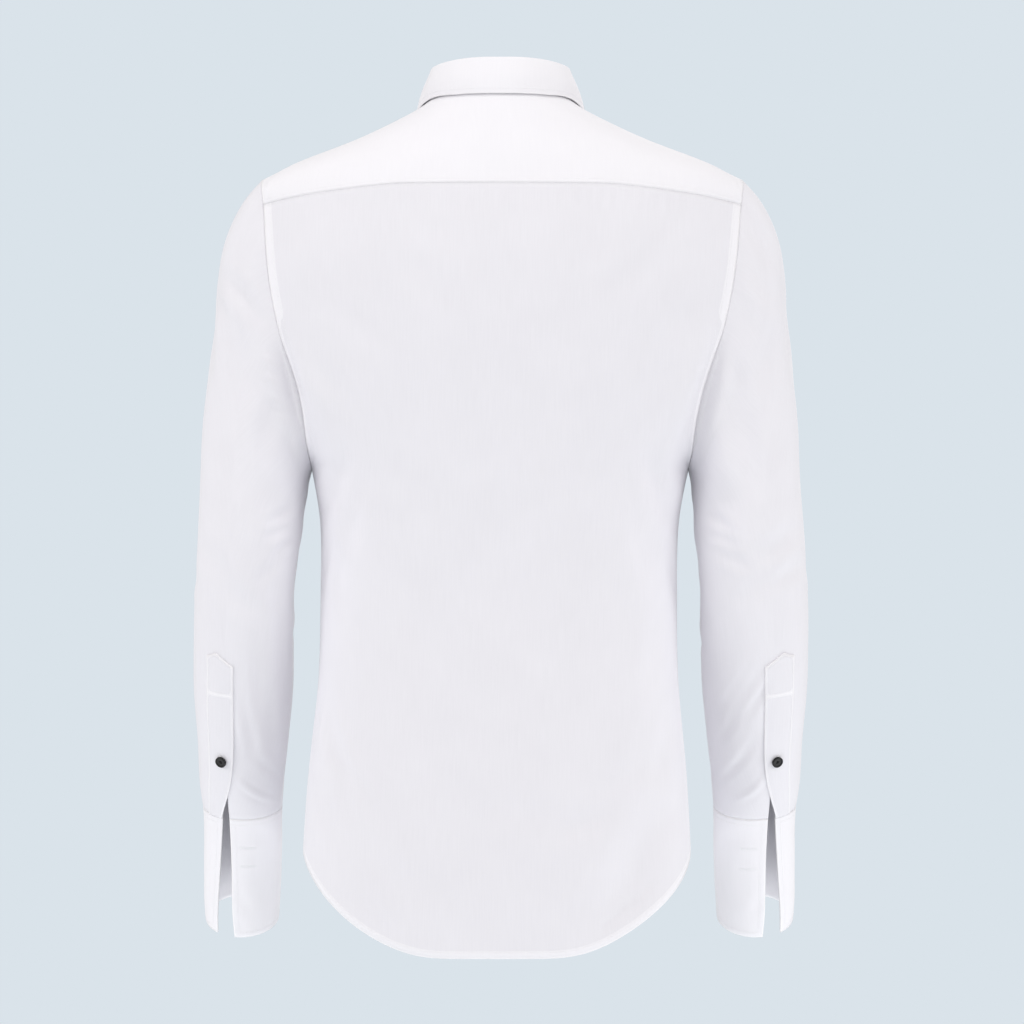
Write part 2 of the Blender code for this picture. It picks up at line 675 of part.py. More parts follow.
def sleeve_point(ring, angle):
    """Points of the sleeve's outer surface, below the armhole's shape."""
    middle, outward, backward = ring_frame(ring)
    angle = np.asarray(angle, float)[..., None]
    around = -np.cos(np.radians(angle)) * outward + np.sin(np.radians(angle)) * backward
    height = (middle + around)[..., 2]
    fold = fold_out(SLEEVE_FOLDS, angle[..., 0], height, SLEEVE_FOLD_RADIUS)
    return middle + around + fold[..., None] * unit(around)


def sleeve_out(ring, angle):
    """The way out from the sleeve's surface."""
    around = sleeve_point(ring, angle + 0.5) - sleeve_point(ring, angle - 0.5)
    down = sleeve_point(ring + 0.05, angle) - sleeve_point(ring - 0.05, angle)
    return unit(np.cross(around, down))


def armhole_loop():
    """Places round the armhole from the underarm up the back, and down the front."""
    return np.concatenate([ARMHOLE_BACK, ARMHOLE_FRONT[::-1][1:-1]])


def sleeve_grid():
    """The left sleeve's points. The first and last columns part at the slit."""
    loop = np.roll(armhole_loop(), -SLIT_COLUMN, axis=0)
    loop = np.concatenate([loop, loop[:1]])
    seam = skin(loop[:, 0], loop[:, 1])
    middle, outward, backward = ring_frame(0)
    off = seam - middle
    along = unit(np.cross(outward, backward))
    out_share = off @ outward / (outward @ outward)
    back_share = off @ backward / (backward @ backward)
    aside = off @ along
    rows = []
    for ring in range(SLEEVE_RINGS + 1):
        start = SLIT.read("outer_edge", ring)
        end = SLIT.read("inner_edge", ring) + 360
        angles = np.linspace(start, end, SLEEVE_COLUMNS + 1)
        oval = sleeve_point(ring, angles)
        fade = min(ring / ARMHOLE_FADE, 1)
        fade = fade * fade * (3 - 2 * fade)
        middle, outward, backward = ring_frame(ring)
        along = unit(np.cross(outward, backward))
        hole = middle + out_share[:, None] * outward + back_share[:, None] * backward
        hole = hole + aside[:, None] * along
        rows.append(hole * (1 - fade) + oval * fade)
    return np.array(rows), seam, skin_normal(loop[:, 0], loop[:, 1])


def make_sleeves():
    grid, seam, panel_normal = sleeve_grid()
    # Each end is drawn back from its seam. Under the arm the sleeve doubles back beside the body,
    # so there it moves sideways, off the body's wall. Over the shoulder it turns down, and there its
    # edge is cut along the body's normal.
    ring = np.concatenate([seam[-2:-1], seam, seam[1:2]])
    tangent = unit(ring[2:] - ring[:-2])
    down = unit(grid[1] - grid[0])
    into_panel = unit(np.cross(tangent, panel_normal))
    doubled = np.maximum(np.sum(down * into_panel, -1, keepdims=True), 0)
    normals = grid_normals(grid, wrap=True)
    turns_down = np.sum(down * panel_normal, -1, keepdims=True) < 0
    normals[0] = np.where(turns_down, panel_normal, normals[0])
    grid[0] = grid[0] + SEAM / 2 * (1 + doubled) * unit(down - into_panel)
    grid[-1] = grid[-1] - SEAM / 2 * unit(grid[-1] - grid[-2])
    inner = grid - SHIRTING * normals
    cloth("sleeve_left", grid, inner, "left_arm")
    cloth("sleeve_right", mirrored(grid), mirrored(inner), "right_arm")


def make_cuffs():
    last = SLEEVE_RINGS + CUFF_RINGS
    rows = []
    for ring in range(SLEEVE_RINGS, last + 1):
        start, end = SLIT.read("outer_edge", ring), SLIT.read("inner_edge", ring) + 360
        rows.append(sleeve_point(ring, np.linspace(start, end, SLEEVE_COLUMNS + 1)))
    outer = np.array(rows)
    outer[0] += SEAM / 2 * unit(outer[1] - outer[0])
    inner = outer - CUFF_WALL * grid_normals(outer)
    cloth("cuff_left", outer, inner, "left_arm")
    cloth("cuff_right", mirrored(outer), mirrored(inner), "right_arm")


def make_sleeve_plackets():
    across = np.array(GAUNTLET_ACROSS)
    rows, outs = [], []
    for place in (GAUNTLET_TOP, *GAUNTLET_RINGS):
        rings = np.broadcast_to(np.array(place, float), across.shape)
        free, far = GAUNTLET.read("free_edge", rings), GAUNTLET.read("far_edge", rings)
        angles = free + (far - free) * across
        rows.append([sleeve_point(ring, angle) for ring, angle in zip(rings, angles)])
        outs.append([sleeve_out(ring, angle) for ring, angle in zip(rings, angles)])
    points, normals = np.array(rows), np.array(outs)
    points[-1] -= SEAM / 2 * unit(points[-1] - points[-2])
    outer, inner = points + (LAID_ON + SHIRTING) * normals, points + LAID_ON * normals
    cloth("sleeve_placket_left", outer, inner, "left_arm")
    cloth("sleeve_placket_right", mirrored(outer), mirrored(inner), "right_arm")


def add_button(name, place, out, radius, limb="body"):
    """A turned disc with a rim, its back on the cloth and its face pointing out."""
    mesh = bmesh.new()
    rings = []
    for reach, depth in BUTTON_PROFILE:
        ring = []
        for side in range(BUTTON_SIDES):
            turn = 2 * math.pi * side / BUTTON_SIDES
            at = (radius * reach * math.cos(turn), radius * reach * math.sin(turn))
            ring.append(mesh.verts.new((*at, BUTTON_THICKNESS * depth)))
        rings.append(ring)
    for low, high in zip(rings, rings[1:]):
        for a, b, c, d in zip(low, low[1:] + low[:1], high[1:] + high[:1], high):
            mesh.faces.new((a, b, c, d))
    mesh.faces.new(rings[0][::-1])
    mesh.faces.new(rings[-1])
    button = add_object(name, mesh, BLACK, roughness=0.35)
    button.location = swayed(place, limb)
    button.rotation_euler = Vector(out).to_track_quat("Z", "Y").to_euler()


def make_buttons():
    for number, height in enumerate(FRONT_BUTTON_HEIGHTS, 1):
        out = skin_normal(-90.0, height)
        place = skin(-90.0, height) + (LAID_ON + SHIRTING + SEAM) * out
        add_button(f"front_button_{number}", place, out, FRONT_BUTTON_RADIUS)

    base, up, out, height = (value[0] for value in stand_frame(np.array([-90.0])))
    place = base + up * height / 2 + SEAM * out
    add_button("collar_button", place, out, COLLAR_BUTTON_RADIUS)

    ring, angle = GAUNTLET_BUTTON
    out = sleeve_out(ring, angle)
    place = sleeve_point(ring, angle) + (LAID_ON + SHIRTING + SEAM) * out
    add_button("sleeve_button_left", place, out, GAUNTLET_BUTTON_RADIUS, "left_arm")
    flip = np.array((-1, 1, 1))
    add_button("sleeve_button_right", place * flip, out * flip, GAUNTLET_BUTTON_RADIUS, "right_arm")


def main():
    for piece in list(bpy.data.objects):
        bpy.data.objects.remove(piece, do_unlink=True)
    make_back()
    make_yoke()
    make_fronts()
    make_stand()
    make_leaf()
    make_sleeves()
    make_cuffs()
    make_sleeve_plackets()
    make_buttons()


main()
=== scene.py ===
# A long sleeve dress shirt in pressed white poplin, filled out as it is worn and empty inside.
# Metres, +Z up, and millimetres in the crease tables. The front faces -Y and the wearer's left is +X.
import json
import math
from functools import partial

import bmesh
import bpy
import numpy as np
from mathutils import Matrix, Vector
from mathutils.bvhtree import BVHTree

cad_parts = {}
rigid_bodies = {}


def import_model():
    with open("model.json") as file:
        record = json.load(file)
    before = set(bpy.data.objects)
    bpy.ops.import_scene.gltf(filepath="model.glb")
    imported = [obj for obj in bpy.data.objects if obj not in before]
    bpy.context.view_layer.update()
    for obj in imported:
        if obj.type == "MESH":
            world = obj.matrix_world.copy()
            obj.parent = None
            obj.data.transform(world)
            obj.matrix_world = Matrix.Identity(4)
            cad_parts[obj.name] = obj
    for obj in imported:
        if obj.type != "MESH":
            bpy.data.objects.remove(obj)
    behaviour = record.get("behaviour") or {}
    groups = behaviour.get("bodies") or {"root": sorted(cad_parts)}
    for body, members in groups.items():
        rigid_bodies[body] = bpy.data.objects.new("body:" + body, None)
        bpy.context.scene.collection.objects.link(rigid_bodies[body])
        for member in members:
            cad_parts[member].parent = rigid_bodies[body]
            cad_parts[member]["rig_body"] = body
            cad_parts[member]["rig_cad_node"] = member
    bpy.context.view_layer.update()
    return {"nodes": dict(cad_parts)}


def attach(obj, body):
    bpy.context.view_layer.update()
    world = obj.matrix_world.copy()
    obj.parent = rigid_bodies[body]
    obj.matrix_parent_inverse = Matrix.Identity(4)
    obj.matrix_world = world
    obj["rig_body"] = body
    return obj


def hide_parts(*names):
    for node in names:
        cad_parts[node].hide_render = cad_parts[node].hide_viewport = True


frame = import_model()
nodes = frame["nodes"]
print("frame loaded:", len(nodes), "nodes")

# the axis and the sign that each side faces, and the way X runs to either side
facings = {"left": (0, 1), "right": (0, -1), "back": (1, 1), "front": (1, -1)}
wearerSides = {"left": 1, "right": -1}
farAway = 9.0  # further than any two points of the shirt


# a few handy steps

def sheetsOn(side, *parts):
    return [part + "_" + side + "_cloth" for part in parts]


def onlySelect(*pieces):
    bpy.ops.object.select_all(action="DESELECT")
    for piece in pieces:
        piece.select_set(True)
    bpy.context.view_layer.objects.active = pieces[0]


def applyAll(piece):
    onlySelect(piece)
    for name in [modifier.name for modifier in piece.modifiers]:
        bpy.ops.object.modifier_apply(modifier=name)


def places(piece):
    flat = np.empty(len(piece.data.vertices) * 3)
    piece.data.vertices.foreach_get("co", flat)
    return flat.reshape(-1, 3)


def setPlaces(piece, points):
    piece.data.vertices.foreach_set("co", points.ravel())
    piece.data.update()
    bpy.context.view_layer.update()


def outward(piece):
    flat = np.empty(len(piece.data.vertices) * 3)
    piece.data.vertex_normals.foreach_get("vector", flat)
    return flat.reshape(-1, 3)


def softStep(value, low, high):
    share = np.clip((value - low) / (high - low), 0, 1)
    return share * share * (3 - 2 * share)


def unit(vectors):
    return vectors / np.maximum(np.linalg.norm(vectors, axis=-1, keepdims=True), 1e-12)


def squareTo(way, vectors):
    # unit vectors square to one way, or each to its own
    return unit(vectors - np.sum(vectors * way, axis=-1, keepdims=True) * way)


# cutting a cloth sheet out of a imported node
cutting = {
    "merge": 1e-5,
    "rim": 60,  # degrees: the wall's outer side ends where it turns more sharply than this
    "facing": 0.6,  # how squarely a face looks the sheet's way
    "passes": 4,  # how often the smooth sheet is drawn back onto the solid's points
}


def copyNode(name, node):
    onlySelect(nodes[node])
    bpy.ops.object.duplicate()
    copy = bpy.context.object
    copy.name = copy.data.name = name
    copy.parent = None
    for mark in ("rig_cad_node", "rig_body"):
        del copy[mark]
    copy.data.materials.clear()
    bpy.ops.object.mode_set(mode="EDIT")
    bpy.ops.mesh.select_all(action="SELECT")
    bpy.ops.mesh.remove_doubles(threshold=cutting["merge"])
    bpy.ops.object.mode_set(mode="OBJECT")
    return copy


def keepOuterSide(copy, facing):
    bpy.ops.object.mode_set(mode="EDIT")
    bpy.ops.mesh.select_mode(type="EDGE")
    bpy.ops.mesh.select_all(action="DESELECT")
    bpy.ops.mesh.edges_select_sharp(sharpness=math.radians(cutting["rim"]))
    bpy.ops.mesh.mark_seam()
    bpy.ops.mesh.select_mode(type="FACE")
    bpy.ops.mesh.select_all(action="DESELECT")
    shape = bmesh.from_edit_mesh(copy.data)
    way = Vector(facing)
    facingFaces = [face for face in shape.faces if face.normal.dot(way) > cutting["facing"]]
    largest = sorted(facingFaces, key=lambda face: -face.calc_area())[: len(facingFaces) // 2]
    max(largest, key=lambda face: face.calc_center_median().dot(way)).select = True
    bmesh.update_edit_mesh(copy.data)
    bpy.ops.mesh.select_linked(delimit={"SEAM"})
    bpy.ops.mesh.select_all(action="INVERT")
    bpy.ops.mesh.delete(type="FACE")
    bpy.ops.mesh.select_all(action="SELECT")
    bpy.ops.mesh.mark_seam(clear=True)
    bpy.ops.object.mode_set(mode="OBJECT")


def pathAlongEdge(shape, start, end, columns):
    rim = [vert for vert in shape.verts if vert.is_boundary]
    first = min(rim, key=lambda vert: (vert.co - Vector(start)).length)
    last = min(rim, key=lambda vert: (vert.co - Vector(end)).length)
    for edge in [edge for edge in first.link_edges if edge.is_boundary]:
        path = [first, edge.other_vert(first)]
        while path[-1] is not last and len(path) <= columns:
            ahead = [step.other_vert(path[-1]) for step in path[-1].link_edges if step.is_boundary]
            path.append(next(vert for vert in ahead if vert is not path[-2]))
        if path[-1] is last and len(path) == columns + 1:
            return path
    raise RuntimeError("no edge of %d columns between those corners" % columns)


def edgeOf(a, b):
    return next(edge for edge in a.link_edges if edge.other_vert(a) is b)


def thirdOf(face, a, b):
    return next(vert for vert in face.verts if vert is not a and vert is not b)


def rowsOfCloth(row):
    # from one edge of the sheet, strip by strip, to the far edge
    rows, used, before = [row], set(), None
    while True:
        free = [face for face in edgeOf(row[0], row[1]).link_faces if face not in used]
        if not free:
            return rows
        seen = {vert for line in rows for vert in line}
        corner = [edge.other_vert(row[0]) for edge in row[0].link_edges if edge.is_boundary]
        corner = [vert for vert in corner if vert not in seen]
        if not corner:
            ahead = (row[0].co - before.co).normalized()
            nextTo = [edge.other_vert(row[0]) for edge in row[0].link_edges]
            nextTo = [vert for vert in nextTo if vert not in seen]
            corner = [max(nextTo, key=lambda vert: (vert.co - row[0].co).normalized().dot(ahead))]
        line = [corner[0]]
        for low, nextLow in zip(row, row[1:]):
            face = next(f for f in edgeOf(low, nextLow).link_faces if f not in used)
            tip = thirdOf(face, low, nextLow)
            if tip is line[-1]:
                other = next(f for f in edgeOf(tip, nextLow).link_faces if f is not face)
                line.append(thirdOf(other, tip, nextLow))
            else:
                other = next(f for f in edgeOf(low, tip).link_faces if f is not face)
                line.append(tip)
            used.update((face, other))
        rows.append(line)
        before, row = row[0], line


def clothSheet(name, cut):
    # the node's outer side as squares of cloth; grain holds their real sizes and place their row and column
    sheet = copyNode(name, cut["node"])
    keepOuterSide(sheet, cut["facing"])
    shape = bmesh.new()
    shape.from_mesh(sheet.data)
    rows = rowsOfCloth(pathAlongEdge(shape, cut["start"], cut["end"], cut["columns"]))
    outside = edgeOf(rows[0][0], rows[0][1]).link_faces[0].normal.copy()
    grid = np.array([[list(vert.co) for vert in row] for row in rows])
    across = np.zeros(grid.shape[:2])
    across[:, 1:] = np.cumsum(np.linalg.norm(np.diff(grid, axis=1), axis=2), axis=1)
    across -= across[:, -1:] / 2
    along = np.zeros(grid.shape[:2])
    along[1:] = np.cumsum(np.linalg.norm(np.diff(grid, axis=0), axis=2), axis=0)
    built = bmesh.new()
    grain = built.loops.layers.uv.new("grain")
    place = built.loops.layers.uv.new("place")
    twins = {}
    for row in rows:
        for vert in row:
            if vert not in twins:
                twins[vert] = built.verts.new(vert.co)
    for j in range(len(rows) - 1):
        for i in range(len(rows[0]) - 1):
            corners = ((i, j), (i + 1, j), (i + 1, j + 1), (i, j + 1))
            face = built.faces.new([twins[rows[b][a]] for a, b in corners])
            for loop, (a, b) in zip(face.loops, corners):
                loop[grain].uv = (across[b, a], along[b, a])
                loop[place].uv = (a, b)
            face.smooth = True
    built.verts.index_update()
    turns = [twins[rows[b][a]].index for a, b in cut.get("turns", ())]
    built.faces.ensure_lookup_table()
    built.normal_update()
    if built.faces[0].normal.dot(outside) < 0:
        bmesh.ops.reverse_faces(built, faces=built.faces[:])
    built.to_mesh(sheet.data)
    built.free()
    shape.free()
    creases = sheet.data.vertex_creases_ensure()
    for turn in turns:
        creases.data[turn].value = 1.0
    cut["size"] = (len(rows[0]) - 1, len(rows) - 1)
    smoothThrough(sheet, cut["levels"])
    print(name, "cut:", cut["size"], len(sheet.data.polygons), "faces")
    return sheet


def smoothThrough(sheet, levels):
    # subdivided so that the smooth cloth still passes through every point of the solid
    wanted = places(sheet)
    onlySelect(sheet)
    bpy.ops.object.modifier_add(type="SUBSURF")
    smooth = sheet.modifiers[-1]
    smooth.levels = smooth.render_levels = levels
    smooth.boundary_smooth = "PRESERVE_CORNERS"
    smooth.uv_smooth = "NONE"
    for step in range(cutting["passes"]):
        bpy.context.view_layer.update()
        limit = places(sheet.evaluated_get(bpy.context.evaluated_depsgraph_get()))
        setPlaces(sheet, places(sheet) + wanted - limit[: len(wanted)])
    applyAll(sheet)


# each sheet: its node, the way its outer side faces, and its first edge from corner to corner
cuts = {
    "back_cloth": {
        "node": "back", "facing": (0, 1, 0), "columns": 20, "levels": 3,
        "start": (0.174, 0, -0.675), "end": (-0.174, 0, -0.675), "turns": ((0, 9), (20, 9)),
    },
    "yoke_cloth": {
        "node": "yoke", "facing": (0, 1, 0.5), "columns": 32, "levels": 3,
        "start": (0.2132, -0.027, -0.094), "end": (-0.2132, -0.027, -0.094), "turns": ((6, 0), (26, 0)),
    },
}


def cutBothSides(part, node, columns, facing, start, end, turns=()):
    # the right one starts from mirrored corners
    for side, sign in wearerSides.items():
        way, first, last = ((sign * x, y, z) for x, y, z in (facing, start, end))
        cut = {"node": node + "_" + side, "facing": way, "columns": columns, "levels": 3}
        cuts[part + "_" + side + "_cloth"] = {**cut, "start": first, "end": last, "turns": turns}


frontTurns = ((5, 17), (11, 9))
cutBothSides("front", "front", 11, (0, -1, 0), (-0.016, -0.109, -0.745), (0.174, 0, -0.675), frontTurns)
cuts.update({
    "placket_cloth": {
        "node": "front_placket", "facing": (0, -1, 0), "columns": 2, "levels": 3,
        "start": (-0.016, -0.109, -0.745), "end": (0.016, -0.109, -0.745),
    },
    "stand_cloth": {
        "node": "collar_stand", "facing": (0, 1, 0), "columns": 42, "levels": 2,
        "start": (-0.018, -0.0499, -0.0412), "end": (0.0139, -0.0481, -0.0411),
    },
    "leaf_cloth": {
        "node": "collar_leaf", "facing": (0, 1, 0), "columns": 40, "levels": 3,
        "start": (0.0478, -0.0756, -0.0761), "end": (-0.053, -0.0756, -0.0761),
    },
})
cutBothSides("sleeve", "sleeve", 22, (1, 0, 0), (0.2521, -0.0336, -0.6505), (0.2456, -0.0312, -0.6513))
cutBothSides("cuff", "cuff", 22, (1, 0, 0), (0.2616, -0.0921, -0.762), (0.2451, -0.0857, -0.7656))
gauntletEdge = ((0.2525, -0.0338, -0.6504), (0.2642, -0.0431, -0.6474))
cutBothSides("gauntlet", "sleeve_placket", 4, (0.3, 1, 0), *gauntletEdge)
cloth = {name: clothSheet(name, cut) for name, cut in cuts.items()}
print("sheets cut")


# where things lie on a sheet

hair = 0.01  # of a column or a row


def gridOf(name):
    # each vertex's column and row in its sheet
    data = cloth[name].data
    flat = np.empty(len(data.loops) * 2)
    data.uv_layers["place"].uv.foreach_get("vector", flat)
    owner = np.empty(len(data.loops), int)
    data.loops.foreach_get("vertex_index", owner)
    place = np.zeros((len(data.vertices), 2))
    place[owner] = flat.reshape(-1, 2)
    return place


def lineOn(name, side, low, high):
    # vertices along one side of a sheet, or along one of its columns, from low to high
    place = gridOf(name)
    columns, rows = cuts[name]["size"]
    edges = {"bottom": (1, 0), "top": (1, rows), "left": (0, 0), "right": (0, columns)}
    edges["box"] = (1, rows - 1)  # across a gauntlet below its point
    fixed, level = edges.get(side, (0, side))
    along = place[:, 1 - fixed]
    near = np.abs(place[:, fixed] - level) < hair
    near &= (along > min(low, high) - hair) & (along < max(low, high) + hair)
    found = np.nonzero(near)[0]
    return found[np.argsort(along[found] * (1 if high > low else -1))]


def distanceTo(points, line):
    nearest = np.full(len(points), farAway)
    for start, end in zip(line, line[1:]):
        span = end - start
        share = np.clip((points - start) @ span / max(span @ span, 1e-12), 0, 1)
        nearest = np.minimum(nearest, np.linalg.norm(points - start - share[:, None] * span, axis=1))
    return nearest


# creases, all listed one by one; depth scales the tables below as a whole
creaseDepth = {"body": 1.35, "puckers": 1.0, "sleeve": 1.35, "cuff": 1.0, "collar": 1.0, "underarm": 1.0}
crease = {
    "ridge": 0.32, "ridgeOut": 1.9, "ridgeWidth": 0.8,  # the ridge on either side, in shares of the trough
    "ends": 1.5,  # how softly it runs out
    "turned": 0.45,  # it fades on cloth that turns further away from its side than this
}


def press(piece, creases, scale=1.0, calm=1.0):
    # soft troughs with a low ridge on either side; a depth below zero stands out instead
    points, out = places(piece), outward(piece)
    moved = np.zeros(len(points))
    for side, rows in creases.items():
        axis, sign = facings[side]
        facing = softStep(sign * out[:, axis], 0.0, crease["turned"])
        for *sizes, lean, bow in rows:
            across, height, length, width, depth = (size / 1000 for size in sizes)
            sideways, upward = points[:, 1 - axis] - across, points[:, 2] - height
            turn = math.radians(lean)
            along = (upward * math.cos(turn) + sideways * math.sin(turn)) / length
            off = (sideways * math.cos(turn) - upward * math.sin(turn)) / width - bow * along * along
            beside = (np.abs(off) - crease["ridgeOut"]) / crease["ridgeWidth"]
            shape = np.exp(-off * off) - crease["ridge"] * np.exp(-beside * beside)
            moved -= depth * shape * np.clip(1 - along * along, 0, 1) ** crease["ends"] * facing
    setPlaces(piece, points + (moved * calm * scale)[:, None] * out)


# in millimetres: across, height, half length, half width and depth; then lean and bow
# a positive lean tips the top to +X or +Y
bodyCreases = {
    "back": [  # pulled towards the underarms, slack above the hem
        (-123.5, -686, 76, 20, 5.8, -29, 0.3), (-150, -668, 36, 15, -2.2, -26, 0),
        (-52, -640, 90, 13, 1.1, 80, 0.4), (-104, -610, 52, 10, 1.1, -56, -0.3),
        (-85, -640, 62, 8.5, 1, -68, -0.3), (139, -598, 58, 6.5, 1.7, 14, 0.3),
        (124, -612, 50, 6, 1.3, 34, 0.4), (150, -553, 45, 5, 0.8, 9, -0.2), (144, -426, 46, 5, 1, 8, 0),
        (134, -440, 36, 6, 0.8, 5, 0.3), (164, -312, 52, 9, 1.8, 10, 0.3),
        (146, -352, 44, 8.5, 2.4, -24, 0.5), (133, -392, 56, 9.5, 1.6, -12, 0.3),
        (158, -395, 36, 6, 1.3, -6, 0), (-169, -296, 60, 7.5, 1.8, -12, -0.2),
        (-142, -356, 46, 8.5, 2.2, 22, -0.4), (-126, -400, 50, 10, 1.3, 12, 0),
        (-150, -216, 40, 10.5, 1.2, -39, 0.3), (-114, -168, 36, 11, 0.8, -56, 0.2),
        (-135, -262, 34, 9, 1.1, -30, 0), (131, -206, 34, 10.5, 0.9, 44, -0.2),
        (148, -258, 30, 8.5, 1.2, 33, 0), (60, -170, 40, 13, 0.8, 62, 0.2), (-102, -447, 34, 9, 1.1, 22, 0),
        (-138, -492, 46, 8, 1.2, -8, 0.2), (-146, -585, 34, 7, 1.1, -14, 0), (18, -330, 75, 16, 0.8, 6, 0.3),
        (-34, -300, 62, 14, 0.8, -9, 0), (52, -492, 70, 15, 0.8, -7, -0.2), (-48, -524, 55, 13, 0.7, 12, 0),
        (86, -694, 36, 12, 1, 64, 0),
        # ripples where the hem turns up round the right tail, fewer round the left
        (-94, -733, 11, 3.4, 0.9, -48, 0), (-104, -727, 13, 3.8, 1.1, -46, 0.2),
        (-113, -720, 10, 3.4, 0.9, -44, 0), (-122, -713, 12, 3.6, 1, -40, 0),
        (-131, -705, 9, 3.4, 0.7, -36, 0), (101, -728, 10, 3.6, 0.6, 46, 0),
        (119, -717, 11, 3.8, 0.7, 42, 0),
    ],
    "front": [  # from the chest to the underarms, and slack beside the placket
        (136, -228, 46, 10.5, 2.2, 36, 0.4), (112, -258, 38, 9.5, 1.3, 48, 0.2),
        (-132, -240, 42, 10, 2, -38, -0.3), (-106, -208, 36, 11, 1.2, -52, 0),
        (141, -372, 50, 9, 2, -18, 0.3), (-143, -366, 46, 8.5, 2.1, 20, 0), (62, -320, 60, 12, 1.1, 10, 0.3),
        (-70, -345, 52, 11, 1.2, -14, -0.3), (40, -420, 30, 7.5, 1.2, 64, 0.2),
        (-42, -430, 26, 7, 1, -58, 0), (42, -520, 32, 8, 1.2, 60, 0), (-45, -600, 32, 8, 1.1, -52, 0.2),
        (120, -560, 52, 9, 1.4, -8, 0.2), (-124, -536, 58, 8.5, 1.3, 10, 0),
        (96, -650, 60, 16, 2.4, 26, 0.4), (-90, -664, 52, 15, 1.8, -32, 0), (78, -160, 38, 12, 1, 58, 0),
        (112, -706, 11, 3.8, 0.8, -42, 0), (125, -699, 9, 3.6, 0.7, -38, 0),
        (-118, -703, 10, 3.8, 0.8, 40, 0),
    ],
    "left": [  # the side seams, drawn in at the waist
        (34, -418, 40, 7, 1.4, 24, 0.2), (-30, -448, 34, 6.5, 1.2, -20, 0), (28, -560, 42, 8, 1.2, 12, 0),
    ],
    "right": [
        (32, -430, 36, 7, 1.4, 22, 0), (-34, -462, 40, 7, 1.1, -26, 0.2), (-26, -590, 36, 8, 1.1, -14, 0),
    ],
}

# where sleeve and body fold together below the shoulder, right across the seam
underarmFolds = {
    "back": [
        (183.5, -264, 52, 8, 5.8, 13, 0), (-183, -264, 58, 8, 5.8, -14, 0), (159, -264, 59, 10, -1.6, 31, 0),
        (-165, -262, 57, 10, -1.4, -27, 0),
    ],
    "front": [(183, -266, 58, 9.5, 5.6, 13, 0), (-183, -270, 60, 9, 5.8, -14, 0)],
}

# the gathering that the yoke seam's stitches leave in the back, with the drop below the seam as height
yokePuckers = [
    (188, 8, 7, 3.4, 0.35, 6), (171, 9, 9, 3.8, 0.45, -4), (158, 7, 6, 3.2, 0.3, 0),
    (143, 10, 10, 4, 0.4, 8), (121, 8, 7, 3.6, 0.35, -6), (104, 11, 11, 4.2, 0.5, 3),
    (92, 8, 8, 3.4, 0.55, 0), (81, 12, 12, 3.6, 0.6, -3), (70, 9, 9, 3.2, 0.55, 5),
    (59, 13, 13, 3.8, 0.6, 0), (46, 9, 9, 3.4, 0.45, -4), (31, 12, 11, 4, 0.5, 2), (17, 8, 8, 3.4, 0.4, 0),
    (6, 14, 14, 3.6, 0.45, 4), (-9, 10, 9, 3.6, 0.4, -2), (-26, 12, 12, 4, 0.5, 0), (-41, 8, 8, 3.2, 0.4, 5),
    (-57, 11, 11, 3.8, 0.45, -3), (-71, 13, 13, 3.6, 0.65, 0), (-82, 9, 9, 3.2, 0.7, 3),
    (-92, 14, 14, 3.6, 0.75, -4), (-103, 10, 10, 3.4, 0.6, 0), (-115, 12, 12, 3.8, 0.65, 6),
    (-127, 9, 9, 3.4, 0.55, -2), (-139, 13, 12, 3.8, 0.65, 0), (-152, 10, 10, 3.6, 0.55, 4),
    (-164, 12, 11, 3.6, 0.5, -5), (-177, 9, 9, 3.4, 0.45, 0), (-190, 11, 9, 3.4, 0.4, 3),
]

